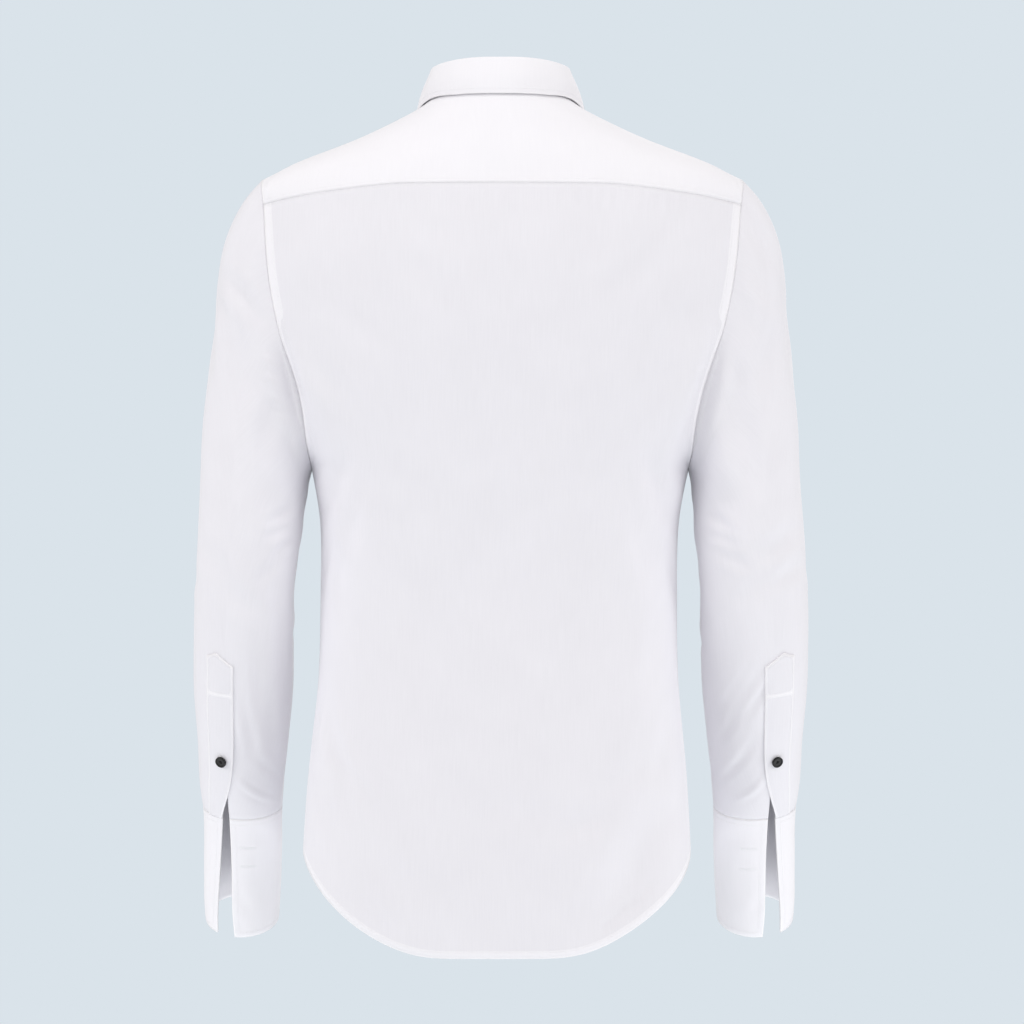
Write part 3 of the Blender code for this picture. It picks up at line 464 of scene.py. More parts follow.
leftSleeveCreases = {
    "back": [  # below the shoulder, then the slack at the elbow, then the pleats above the cuff
        (229, -180, 40, 7, 2.2, 41, 0.4), (250, -190, 32, 6.5, 1.5, 22, 0),
        (226, -246, 44, 12, 2.1, 13, 0.3), (206, -300, 34, 8, 1.4, -8, 0), (203, -232, 13, 4, 0.6, 58, 0.2),
        (200.5, -249, 15, 4.2, 0.8, 64, 0), (198, -266, 12, 3.8, 0.6, 54, 0.2),
        (194.5, -283, 14, 4.2, 0.7, 68, 0), (194, -376, 17, 4.2, 1.4, -52, 0.3),
        (198, -391, 14, 4, 1.2, -60, 0), (192, -406, 16, 3.8, 1.2, -48, 0.2),
        (203, -424, 20, 4.6, 1.1, -44, 0), (252, -420, 34, 8, 1.4, 34, 0.2), (228, -452, 30, 8, 1.1, 58, 0),
        (214, -530, 50, 4.8, 1.1, 3, 0.3), (205, -556, 42, 4.4, 1, -2, 0), (224, -566, 36, 4.6, 1, 8, 0),
        (262, -520, 30, 6, 0.9, -4, 0), (221.5, -627.5, 26, 2.6, -1, 57, -1.8),
        (193, -520, 110, 4.5, 1.2, 3, 0.2), (207, -606, 22, 4, 0.6, 46, 0),
    ],
    "front": [
        (236, -176, 38, 8.5, 2, 38, 0.3), (212, -238, 36, 9.5, 1.7, 22, 0),
        (206, -330, 34, 7, 1.7, -34, 0.3), (222, -420, 30, 7.5, 2.1, 62, 0.3),
        (214, -446, 26, 6, 1.8, 70, -0.2), (236, -474, 28, 7, 1.7, 52, 0),
        (212, -562, 44, 5.5, 1.3, -6, 0.2), (238, -590, 38, 5.5, 1.2, 10, 0), (224, -616, 24, 3.6, 1, 4, 0),
    ],
    "left": [
        (12, -225, 46, 12, 1.8, -26, 0.2), (-22, -330, 36, 8.5, 1.4, 30, 0), (-12, -436, 32, 8, 2, 66, 0.3),
        (-24, -462, 28, 7, 1.6, 74, 0), (-52, -560, 46, 6, 1.3, 16, 0.2), (-78, -610, 26, 4.5, 1.2, 22, 0),
        (-88, -618, 22, 4, 1.2, 14, 0),
    ],
    "right": [
        (4, -400, 36, 6.5, 1.5, -14, 0.2), (-20, -470, 30, 6, 1.4, -50, 0), (-48, -590, 38, 5.5, 1.2, 18, 0),
    ],
}

rightSleeveCreases = {
    "back": [
        (-234, -132, 36, 8.5, 2.1, 28, 0.3), (-226, -186, 34, 9, -1.4, 40, 0),
        (-238, -236, 36, 10.5, 2.2, -18, 0.2), (-209, -250, 28, 7.5, 1.3, 12, 0),
        (-197, -318, 46, 15, -4.6, 3, 0), (-219, -316, 52, 9, 1.8, 6, -0.2),
        (-196, -382, 16, 4.4, 1.4, 46, 0.2), (-200, -398, 15, 4, 1.3, 56, 0),
        (-206, -414, 22, 5, 1.3, 62, 0), (-248, -400, 32, 8, 2.1, -48, 0.3),
        (-256, -428, 26, 7, 1.7, -56, 0), (-226, -440, 28, 8, 1.2, -40, 0),
        (-210, -532, 30, 4.2, 1.1, -32, 0.2), (-219, -534, 36, 4.4, 1.3, -31, 0),
        (-229, -541, 28, 4.2, 1.1, -34, 0), (-206, -566, 22, 4, 1, -28, 0),
        (-220, -592, 28, 4.2, 0.7, -30, 0.2), (-229, -625, 22, 2.8, -1, -47, 1.5),
        (-209, -606, 22, 3.6, 0.6, -38, 0),
    ],
    "front": [
        (-232, -160, 36, 8.5, 2.1, -34, 0.2), (-214, -228, 38, 9.5, 1.6, -18, 0),
        (-202, -342, 32, 7, 1.7, 30, 0), (-226, -432, 32, 7.5, 2.1, -58, 0.3),
        (-216, -462, 26, 6.5, 1.8, -68, 0), (-240, -488, 26, 6.5, 1.5, -50, 0),
        (-216, -570, 42, 5.5, 1.3, 7, 0.2), (-240, -596, 34, 5.2, 1.2, -9, 0),
        (-228, -618, 22, 3.6, 1, -3, 0),
    ],
    "left": [
        (2, -396, 36, 6.5, 1.5, -12, 0), (-22, -478, 30, 6, 1.4, -48, 0.2), (-46, -584, 38, 5.5, 1.2, 16, 0),
    ],
    "right": [
        (14, -214, 44, 12, 1.8, -24, 0.2), (-20, -318, 38, 8.5, 1.4, 28, 0), (-14, -428, 32, 8, 2, 68, 0),
        (-28, -456, 28, 7, 1.6, 60, 0.3), (-50, -552, 44, 6, 1.3, 18, 0), (-76, -606, 26, 4.5, 1.2, 24, 0),
        (-90, -620, 22, 4, 1.1, 12, 0),
    ],
}

# cuffs and collar are stiff: a few shallow dents each
leftCuffCreases = {
    "back": [
        (229, -671.5, 9, 1.6, 0.3, 82, 0.3), (228, -688.5, 10, 1.8, 0.35, 78, -0.2),
        (230, -706, 8, 1.6, 0.25, 84, 0.2), (234, -733, 16, 5, 0.45, 30, 0), (212, -668, 18, 6, 0.5, 76, 0),
        (220, -704, 24, 8, 0.5, -12, 0),
    ],
    "front": [(230, -696, 28, 8, 0.6, -6, 0)],
    "left": [(-100, -700, 26, 8, 0.6, 12, 0.2)],
    "right": [(-92, -690, 24, 8, 0.5, 16, 0)],
}
rightCuffCreases = {
    "back": [
        (-226.5, -672.5, 9, 1.6, 0.3, -84, 0.3), (-228, -690.5, 11, 1.8, 0.35, -80, 0.2),
        (-226, -709, 8, 1.6, 0.25, -78, 0), (-236, -736, 18, 5, 0.45, -24, 0),
        (-214, -672, 18, 6, 0.5, -70, 0), (-224, -710, 24, 8, 0.5, 10, 0),
    ],
    "front": [(-232, -700, 28, 8, 0.6, 8, 0.2)],
    "left": [(-94, -692, 24, 8, 0.5, 18, 0)],
    "right": [(-98, -694, 26, 8, 0.6, 14, 0)],
}
collarCreases = {
    "back": [(30, -4, 20, 7.5, 0.4, 62, 0), (-36, 2, 22, 8, 0.4, -70, 0)],
    "front": [(34, -34, 20, 7, 0.5, 20, 0), (-34, -32, 20, 7, 0.5, -24, 0)],
    "left": [(-4, 4, 20, 8, 0.5, 74, 0)],
    "right": [(0, 2, 20, 8, 0.5, 66, 0)],
}


# sewn edges of each sheet: width of the stitched edge, how far it stands proud, then side, from and to
sewnEdges = {
    "yoke_cloth": [
        (0.0040, 0.0001, ("bottom", 6, 26)), (0.0040, 0.0002, ("left", 0, 6), ("right", 0, 6)),
        (0.0080, 0.00025, ("bottom", 0, 6), ("bottom", 26, 32)),
    ],
    "back_cloth": [
        (0.0080, 0.0001, ("left", 14, 17)), (0.0028, 0.0001, ("left", 9, 14)),
        (0.0080, 0.0002, ("right", 14, 17)), (0.0028, 0.0002, ("right", 9, 14)),
        (0.0068, 0.0002, ("left", 0, 9), ("right", 0, 9)), (0.0055, 0.00025, ("bottom", 0, 20)),
    ],
    "placket_cloth": [(0.0050, 0, ("left", 0, 17), ("right", 0, 17)), (0.0055, 0, ("bottom", 0, 2))],
    "stand_cloth": [(0.0020, 0, ("bottom", 0, 42), ("left", 0, 2), ("right", 0, 2))],
    "leaf_cloth": [(0.0045, 0, ("left", 0, 5), ("bottom", 0, 40), ("right", 0, 5))],
}
for side in wearerSides:
    front, cuff, gauntlet = sheetsOn(side, "front", "cuff", "gauntlet")
    sewnEdges[front] = [(0.0080, 0.00025, ("right", 9, 17)), (0.0055, 0.00025, ("bottom", 0, 11))]
    sewnEdges[cuff] = [
        (0.0050, 0, ("left", 0, 5), ("bottom", 0, 22), ("right", 0, 5)), (0.0060, 0, ("top", 0, 22)),
    ]
    sewnEdges[gauntlet] = [
        (0.0018, 0, ("left", 0, 7), ("right", 0, 7), ("top", 0, 4)), (0.0016, 0.0001, ("box", 0, 4)),
    ]
falloff = (0.7, 1.3)  # a proud edge sinks back between these shares of its width


def markSeams(name):
    # how many stitch widths each point lies from the nearest sewn edge, which also stands a little proud
    piece = cloth[name]
    points, out = places(piece), outward(piece)
    share, lift = np.full(len(points), farAway), np.zeros(len(points))
    for width, proud, *lines in sewnEdges.get(name, ()):
        for line in lines:
            away = distanceTo(points, points[lineOn(name, *line)])
            share = np.minimum(share, away / width)
            lift = np.maximum(lift, proud * (1 - softStep(away, width * falloff[0], width * falloff[1])))
    layer = piece.data.attributes.new("seamShare", "FLOAT", "POINT")
    layer.data.foreach_set("value", share.astype(np.float32))
    setPlaces(piece, points + lift[:, None] * out)


def edgePoints(name, side, low, high):
    return places(cloth[name])[lineOn(name, side, low, high)]


def calmNear(name, lines):
    # creases die away between two distances from a line that holds the cloth
    points = places(cloth[name])
    calm = np.ones(len(points))
    for line, (low, high) in lines:
        calm *= softStep(distanceTo(points, line), low, high)
    return calm


def buttonMiddle(node):
    return places(nodes[node]).mean(axis=0)


# the two distances for each kind of line, and the leaf's rows between which creases die away towards its roll
holds = {
    "armhole": (0.0, 0.016), "collar": (0.0, 0.020), "placket": (0.016, 0.034), "button": (0.006, 0.014),
    "sleeveTop": (0.0, 0.014), "sleeveEnd": (0.0, 0.007), "cuffTop": (0.0, 0.010), "leafRows": (3.4, 4.6),
}
armholes = [
    ("back_cloth", "left", 9, 17), ("back_cloth", "right", 9, 17),
    ("yoke_cloth", "bottom", 0, 6), ("yoke_cloth", "bottom", 26, 32),
    ("front_left_cloth", "right", 9, 17), ("front_right_cloth", "right", 9, 17),
]
bodyHolds = [(edgePoints(*edge), holds["armhole"]) for edge in armholes]
bodyHolds.append((edgePoints("stand_cloth", "bottom", 0, 42), holds["collar"]))
bodyHolds.append((edgePoints("placket_cloth", 1, 0, 17), holds["placket"]))
yokeSeam = edgePoints("yoke_cloth", "bottom", 6, 26)[::-1]
puckers = []
for across, drop, length, width, depth, lean in yokePuckers:
    seam = 1000 * np.interp(across / 1000, yokeSeam[:, 0], yokeSeam[:, 2])
    puckers.append((across, seam - drop, length, width, depth, lean, 0))
bodySheets = ("back_cloth", "yoke_cloth", "front_left_cloth", "front_right_cloth", "placket_cloth")
for name in bodySheets:
    press(cloth[name], bodyCreases, creaseDepth["body"], calmNear(name, bodyHolds))
press(cloth["back_cloth"], {"back": puckers}, creaseDepth["puckers"])
armCreases = {"left": (leftSleeveCreases, leftCuffCreases), "right": (rightSleeveCreases, rightCuffCreases)}
for side, (sleeveCreases, cuffCreases) in armCreases.items():
    sleeve, cuff, gauntlet = sheetsOn(side, "sleeve", "cuff", "gauntlet")
    middle = buttonMiddle("sleeve_button_" + side)
    sleeveHolds = [
        (edgePoints(sleeve, "top", 0, 22), holds["sleeveTop"]),
        (edgePoints(sleeve, "bottom", 0, 22), holds["sleeveEnd"]),
        (np.array([middle, middle]), holds["button"]),
    ]
    for name in (sleeve, gauntlet):
        press(cloth[name], sleeveCreases, creaseDepth["sleeve"], calmNear(name, sleeveHolds))
    cuffHolds = [(edgePoints(cuff, "top", 0, 22), holds["cuffTop"])]
    press(cloth[cuff], cuffCreases, creaseDepth["cuff"], calmNear(cuff, cuffHolds))
leafCalm = 1 - softStep(gridOf("leaf_cloth")[:, 1], *holds["leafRows"])
press(cloth["leaf_cloth"], collarCreases, creaseDepth["collar"], leafCalm)
for name in bodySheets[:4] + ("sleeve_left_cloth", "sleeve_right_cloth"):
    press(cloth[name], underarmFolds, creaseDepth["underarm"])
for name in cloth:
    markSeams(name)
print("creases pressed")


# seams closed: the edge that lies underneath is brought to the one on top, and just below it
seams = [("back_cloth", "top", 0, 20, ("yoke_cloth",), 0.0002)]
for side in wearerSides:
    front, sleeve, cuff = sheetsOn(side, "front", "sleeve", "cuff")
    seams += [
        (front, "top", 5, 11, ("yoke_cloth",), 0.0004), (front, "right", 0, 9, ("back_cloth",), 0.0004),
        (sleeve, "top", 0, 22, ("back_cloth", "yoke_cloth", front), 0.0001),
        (sleeve, "bottom", 0, 22, (cuff,), 0.0001), (front, "top", 0, 5, ("stand_cloth",), 0.0004),
    ]
seams.append(("yoke_cloth", "top", 0, 32, ("stand_cloth",), 0.0004))
leafDrop = 0.0010  # how far the leaf's upper edge is sewn down to the stand


def surfaceOf(*names):
    points, faces = [], []
    for name in names:
        start = len(points)
        points += [Vector(point) for point in places(cloth[name])]
        faces += [[start + corner for corner in face.vertices] for face in cloth[name].data.polygons]
    return BVHTree.FromPolygons(points, faces)


for name, side, low, high, others, drop in seams:
    line, points, out = lineOn(name, side, low, high), places(cloth[name]), outward(cloth[name])
    surface = surfaceOf(*others)
    onOther = np.array([surface.find_nearest(Vector(points[at]))[0] for at in line])
    points[line] = onOther - drop * out[line]
    setPlaces(cloth[name], points)
points = places(cloth["leaf_cloth"])
points[lineOn("leaf_cloth", "top", 0, 40), 2] -= leafDrop
setPlaces(cloth["leaf_cloth"], points)
print("seams closed")


# sewing thread: one stitch, modelled once and copied along every sewn line
stitch = {"length": 0.0021, "pitch": 0.0027, "radius": 0.00014, "rise": 0.00009, "above": 0.00004}
thread = {
    "bend": 0.28, "end": 0.4,  # shares of its length from the middle: where it bends, and where its ends lie
    "thin": 0.55, "dive": 0.6, "stand": 0.5,  # the ends' thickness and depth, and the middle's height
}
inward = {"left": (1, 0), "right": (-1, 0), "bottom": (0, 1), "top": (0, -1), "box": (0, -1)}
inCorner = 0.95  # a line's points nearer to the edge than this share of its distance are left out


def threadPiece(name, length, radius, rise):
    # a short thread lying along X, its ends diving into the cloth
    bpy.ops.mesh.primitive_cylinder_add(
        vertices=6, radius=radius, depth=length, location=(0, 0, 0), rotation=(0, math.pi / 2, 0),
    )
    bpy.ops.object.transform_apply(location=True, rotation=True, scale=True)
    piece = bpy.context.object
    piece.name = name
    bpy.ops.object.mode_set(mode="EDIT")
    for side in (-1, 1):
        bpy.ops.mesh.select_all(action="SELECT")
        bpy.ops.mesh.bisect(plane_co=(side * thread["bend"] * length, 0, 0), plane_no=(1, 0, 0))
    bpy.ops.object.mode_set(mode="OBJECT")
    points = places(piece)
    ends = np.abs(points[:, 0]) > thread["end"] * length
    points[ends, 1:] *= thread["thin"]
    points[:, 2] += np.where(ends, -thread["dive"] * rise, thread["stand"] * rise)
    setPlaces(piece, points)
    bpy.ops.object.shade_smooth()
    return piece


def copiesAt(one, name, points, along, out):
    base = places(one)
    ways = (along, np.cross(out, along), out)
    spread = sum(base[None, :, axis, None] * way[:, None] for axis, way in enumerate(ways)) + points[:, None]
    starts = range(0, len(points) * len(base), len(base))
    corners = [list(face.vertices) for face in one.data.polygons]
    faces = [[start + corner for corner in face] for start in starts for face in corners]
    mesh = bpy.data.meshes.new(name)
    mesh.from_pydata(spread.reshape(-1, 3).tolist(), [], faces)
    mesh.shade_smooth()
    piece = bpy.data.objects.new(name, mesh)
    bpy.context.collection.objects.link(piece)
    return piece


def onSurface(surface, points, rise):
    found = [surface.find_nearest(Vector(point)) for point in points]
    out = np.array([spot[1] for spot in found])
    return np.array([spot[0] for spot in found]) + rise * out, out


def insetLine(name, outline, distance):
    # a line over the cloth at one distance from an edge of the sheet
    points, place = places(cloth[name]), gridOf(name)
    step = 2 ** cuts[name]["levels"]
    at = {(round(u * step), round(v * step)): k for k, (u, v) in enumerate(place)}
    inset, edge = [], []
    for side, low, high in outline:
        line = lineOn(name, side, low, high)
        du, dv = inward.get(side, (1, 0))
        inner = []
        for k in line:
            u, v = round(place[k, 0] * step), round(place[k, 1] * step)
            inner.append(at[u + du, v + dv])
        into = squareTo(unit(np.gradient(points[line], axis=0)), points[inner] - points[line])
        inset.append(points[line] + distance * into)
        edge.append(points[line])
    inset, edge = np.concatenate(inset), np.concatenate(edge)
    return inset[distanceTo(inset, edge) > distance * inCorner]


def evenly(line, pitch):
    steps = np.linalg.norm(np.diff(line, axis=0), axis=1)
    line = line[np.concatenate([[True], steps > 1e-6])]
    length = np.concatenate([[0], np.cumsum(np.linalg.norm(np.diff(line, axis=0), axis=1))])
    at = np.linspace(pitch / 2, length[-1] - pitch / 2, max(int(length[-1] / pitch), 2))
    return np.stack([np.interp(at, length, line[:, axis]) for axis in range(3)], axis=1)


# each group of lines by sheet: how far in, and the outline it follows
sewnLines = {
    "yoke_stitches": {"yoke_cloth": [
        (0.0040, ("bottom", 6, 26)), (0.0040, ("left", 0, 6)), (0.0040, ("right", 0, 6)),
        (0.0078, ("bottom", 0, 6)), (0.0078, ("bottom", 26, 32)),
    ]},
    "back_stitches": {"back_cloth": [
        (0.0078, ("left", 9, 17)), (0.0078, ("right", 9, 17)), (0.0066, ("left", 0, 9)),
        (0.0066, ("right", 0, 9)), (0.0014, ("left", 0, 9)), (0.0014, ("right", 0, 9)),
        (0.0054, ("bottom", 0, 20)),
    ]},
    "front_left_stitches": {"front_left_cloth": [(0.0078, ("right", 9, 17)), (0.0054, ("bottom", 2, 11))]},
    "front_right_stitches": {"front_right_cloth": [(0.0078, ("right", 9, 17)), (0.0054, ("bottom", 2, 11))]},
    "placket_stitches": {"placket_cloth": [
        (0.0050, ("left", 0, 17)), (0.0050, ("right", 0, 17)), (0.0054, ("bottom", 0, 2)),
    ]},
    "collar_stitches": {
        "leaf_cloth": [(0.0045, ("left", 5, 0), ("bottom", 0, 40), ("right", 0, 5))],
        "stand_cloth": [(0.0016, ("bottom", 0, 42)), (0.0016, ("left", 0, 2)), (0.0016, ("top", 0, 3))],
    },
}
for side in wearerSides:
    cuff, sleeve, gauntlet = sheetsOn(side, "cuff", "sleeve", "gauntlet")
    sewnLines["sleeve_" + side + "_stitches"] = {
        cuff: [
            (0.0014, ("top", 0, 22)), (0.0060, ("top", 0, 22)),
            (0.0050, ("left", 5, 0), ("bottom", 0, 22), ("right", 0, 5)),
        ],
        gauntlet: [(0.0018, ("left", 0, 7), ("top", 0, 4), ("right", 7, 0)), (0.0004, ("box", 0, 4))],
        sleeve: [(0.0007, (15, 1, 23)), (0.0062, (15, 1, 23))],
    }

oneStitch = threadPiece("one_stitch", stitch["length"], stitch["radius"], stitch["rise"])
threads = {}
for group, sheets in sewnLines.items():
    spots, ways, outs = [], [], []
    for name, lines in sheets.items():
        surface = surfaceOf(name)
        for distance, *outline in lines:
            path = evenly(insetLine(name, outline, distance), stitch["pitch"])
            onCloth, out = onSurface(surface, path, stitch["above"])
            spots.append(onCloth)
            ways.append(squareTo(out, unit(np.gradient(onCloth, axis=0))))
            outs.append(out)
    threads[group] = copiesAt(oneStitch, group, *(np.concatenate(part) for part in (spots, ways, outs)))
    print(group, sum(len(part) for part in spots), "stitches")


# buttonholes: close threads across both lips and bars at each end, sunk into the cloth
bar = {
    "length": 0.0018, "radius": 0.00012, "pitch": 0.00026, "apart": 0.00115, "sunk": 0.00004,
    "beyond": 0.0006, "across": (-0.0012, -0.0006, 0.0, 0.0006, 0.0012),  # where the bars at the ends lie
}
holeLength = 0.0145
oneBar = threadPiece("one_bar", bar["length"], bar["radius"], 0.0)


def rayOnto(name, x, z):
    # the point of the cloth seen from straight behind
    return surfaceOf(name).ray_cast(Vector((x, 1, z)), Vector((0, -1, 0)))[0]


def buttonhole(name, middle, way):
    surface = surfaceOf(name)
    (middle,), (out,) = onSurface(surface, [middle], 0.0)
    way = squareTo(out, np.array(way))
    across = np.cross(out, way)
    count = int(holeLength / bar["pitch"] / 2)
    steps = np.arange(-count, count + 1)[:, None] * bar["pitch"]
    spots, ways = [], []
    for lip in (-1, 1):
        spots.append(middle + steps * way + lip * bar["apart"] / 2 * across)
        ways.append(np.repeat(across[None], len(steps), axis=0))
    for end in (-1, 1):
        for shift in bar["across"]:
            spots.append((middle + end * (holeLength / 2 + bar["beyond"]) * way + shift * across)[None])
            ways.append(way[None])
    spots, outs = onSurface(surface, np.concatenate(spots), -bar["sunk"])
    return spots, squareTo(outs, np.concatenate(ways)), outs


buttonholes = {
    "placket_buttonholes": [
        ("placket_cloth", buttonMiddle("front_button_%d" % number), (0, 0, 1)) for number in range(1, 8)
    ],
    "collar_buttonhole": [("stand_cloth", buttonMiddle("collar_button"), (1, 0, 0))],
}
# on the cuffs: across, height and slope
cuffHoles = {
    "left": ((0.2296, -0.6796, 0.16), (0.2296, -0.6971, 0.12)),
    "right": ((-0.2268, -0.6805, -0.10), (-0.2268, -0.6999, -0.14)),
}
for side, holes in cuffHoles.items():
    cuff, gauntlet = sheetsOn(side, "cuff", "gauntlet")
    buttonholes[side + "_cuff_buttonholes"] = [
        *((cuff, rayOnto(cuff, x, z), (1, 0, slope)) for x, z, slope in holes),
        (gauntlet, buttonMiddle("sleeve_button_" + side), (0, 0, 1)),
    ]
for group, holes in buttonholes.items():
    parts = zip(*(buttonhole(*hole) for hole in holes))
    threads[group] = copiesAt(oneBar, group, *(np.concatenate(part) for part in parts))
print("buttonholes sewn:", sum(len(holes) for holes in buttonholes.values()))


# buttons: a turned disc with a raised rim, four holes and crossed thread
button = {
    "size": 0.985,  # of the solid's radius
    "thickness": 0.0024, "bevel": 0.0005, "rim": 0.14, "slope": 0.0004, "dish": 0.00055,
    "ring": 0.0006, "ringDeep": 0.00008, "hole": 0.00062,
    "holeOut": 0.00125 / 0.0055,  # of the radius, as the rim is
    "strand": 2.9,  # how long it is, in the distance of a hole from the middle
    "strandRadius": 0.00034, "strandRise": 0.0006, "strandAbove": 0.0001,
    "shank": 0.0013, "shankDepth": 0.0008, "shankAt": -0.0001,
}


def makeButton(radius):
    bpy.ops.mesh.primitive_cylinder_add(
        vertices=40, radius=radius, depth=button["thickness"], location=(0, 0, button["thickness"] / 2),
    )
    bpy.ops.object.transform_apply(location=True, rotation=True, scale=True)
    disc = bpy.context.object
    bpy.ops.object.modifier_add(type="BEVEL")
    soft = disc.modifiers[-1]
    soft.width, soft.segments = button["bevel"], 3
    soft.limit_method, soft.angle_limit = "ANGLE", math.radians(60)
    applyAll(disc)
    bpy.ops.object.mode_set(mode="EDIT")
    bpy.ops.mesh.select_mode(type="FACE")
    bpy.ops.mesh.select_all(action="DESELECT")
    shape = bmesh.from_edit_mesh(disc.data)
    max(shape.faces, key=lambda face: (face.normal.z, face.calc_area())).select = True
    bmesh.update_edit_mesh(disc.data)
    bpy.ops.mesh.inset(thickness=radius * button["rim"])
    bpy.ops.mesh.inset(thickness=button["slope"])
    bpy.ops.transform.translate(value=(0, 0, -button["dish"]))
    bpy.ops.mesh.inset(thickness=button["ring"])
    bpy.ops.transform.translate(value=(0, 0, -button["ringDeep"]))
    bpy.ops.object.mode_set(mode="OBJECT")
    reach = button["holeOut"] * radius
    for x, y in ((1, 1), (-1, 1), (-1, -1), (1, -1)):
        place = (x * reach * math.sqrt(0.5), y * reach * math.sqrt(0.5), 0)
        bpy.ops.mesh.primitive_cylinder_add(vertices=14, radius=button["hole"], depth=0.01, location=place)
        drill = bpy.context.object
        onlySelect(disc)
        bpy.ops.object.modifier_add(type="BOOLEAN")
        disc.modifiers[-1].object, disc.modifiers[-1].operation = drill, "DIFFERENCE"
        applyAll(disc)
        bpy.data.objects.remove(drill)
    bpy.ops.object.shade_smooth_by_angle(angle=math.radians(35))
    return disc


def buttonThread(radius):
    # two strands crossed through the holes, and the shank below
    pieces = []
    length = button["strand"] * button["holeOut"] * radius
    height = button["thickness"] - button["dish"] + button["strandAbove"]
    for turn in (math.pi / 4, -math.pi / 4):
        strand = threadPiece("strand", length, button["strandRadius"], button["strandRise"])
        strand.data.transform(Matrix.Translation((0, 0, height)) @ Matrix.Rotation(turn, 4, "Z"))
        pieces.append(strand)
    bpy.ops.mesh.primitive_cylinder_add(
        vertices=12, radius=button["shank"], depth=button["shankDepth"], location=(0, 0, button["shankAt"]),
    )
    bpy.ops.object.transform_apply(location=True, rotation=True, scale=True)
    onlySelect(*pieces, bpy.context.object)
    bpy.ops.object.join()
    return pieces[0]


def standOn(piece, node, turn):
    # the node gives the button's middle and the way it faces
    points = places(nodes[node])
    middle = points.mean(axis=0)
    way = np.linalg.svd(points - middle)[2][2]
    facing = (0, 1, 0) if "sleeve" in node else (0, -1, 0)
    way = way if np.dot(way, facing) > 0 else -way
    back = ((points - middle) @ way).min()
    facingWay = Vector(way).to_track_quat("Z", "Y").to_matrix().to_4x4()
    turned = facingWay @ Matrix.Rotation(math.radians(turn), 4, "Z")
    piece.data.transform(Matrix.Translation(Vector(middle + back * way)) @ turned)


# degrees each button is turned on its thread
buttonTurns = {"front_button_%d" % number: turn for number, turn in enumerate((4, -7, 12, 2, -15, 8, -3), 1)}
buttonTurns.update({"collar_button": 6, "sleeve_button_left": 9, "sleeve_button_right": -12})
buttons, buttonThreads = {}, {}
for node, turn in buttonTurns.items():
    points = places(nodes[node])
    radius = np.linalg.norm(points - points.mean(axis=0), axis=1).max() * button["size"]
    made = ((makeButton(radius), buttons, "_disc"), (buttonThread(radius), buttonThreads, "_thread"))
    for piece, group, ending in made:
        standOn(piece, node, turn)
        piece.name = piece.data.name = node + ending
        group[node] = piece
print("buttons made:", len(buttons))
for spare in (oneStitch, oneBar):
    bpy.data.objects.remove(spare)


# thickness of each shell, inwards from its outer side
walls = {
    "back": 0.0006, "yoke": 0.0006, "front": 0.0006, "sleeve": 0.0006, "cuff": 0.0014,
    "placket": 0.0013, "stand": 0.0013, "leaf": 0.0012, "gauntlet": 0.0013,
}
for name, piece in cloth.items():
    onlySelect(piece)
    bpy.ops.object.modifier_add(type="SOLIDIFY")
    shell = piece.modifiers[-1]
    shell.thickness, shell.offset, shell.use_rim = walls[name.split("_")[0]], -1, True
    applyAll(piece)
print("shells thickened")


# materials

def linear(hexColour):
    parts = [int(hexColour[at:at + 2], 16) / 255 for at in (1, 3, 5)]
    parts = [part / 12.92 if part <= 0.04045 else ((part + 0.055) / 1.055) ** 2.4 for part in parts]
    return (*parts, 1.0)


def addNode(tree, kind, inputs=None, **settings):
    # an input is a value, a socket, or a node whose first output in use is meant
    node = tree.nodes.new(kind)
    for name, value in settings.items():
        setattr(node, name, value)
    for name, value in (inputs or {}).items():
        if isinstance(value, bpy.types.Node):
            value = next(out for out in value.outputs if out.enabled)
        if isinstance(value, bpy.types.NodeSocket):
            tree.links.new(value, node.inputs[name])
        else:
            node.inputs[name].default_value = value
    return node


def newMaterial(name):
    # an empty material, and the function that adds nodes to it
    material = bpy.data.materials.new(name)
    material.use_nodes = True
    material.node_tree.nodes.clear()
    return material, partial(addNode, material.node_tree)


poplin = {
    # the edge colour is a painted highlight for the rim of each sewn edge
    "single": ("#eeedf2", "#eae9ee"), "doubled": ("#f6f5f9", "#f3f2f6"), "edge": "#fdfcfe", "edgeShare": 0.75,
    "roughness": 0.8, "sheen": 0.35,
    "thread": 0.0009,  # real threads are 0.2 mm apart; drawn coarser so that they show
    "waves": 0.31416,  # how far apart a wave texture's bands lie at a scale of 1
    "soft": 0.30, "band": 0.10, "groove": -0.05, "gather": 0.28, "weave": 0.022,  # heights of relief, in mm
    # where the doubled cloth, the row of stitches, the gathers and the painted highlight along each sewn edge
    # fade out
    "bandEnds": (1.12, 1.30), "rowAt": 0.98, "rowEnds": (0.0, 0.15),
    "gatherEnds": (0.4, 2.4), "edgeEnds": (0.10, 0.34),
}


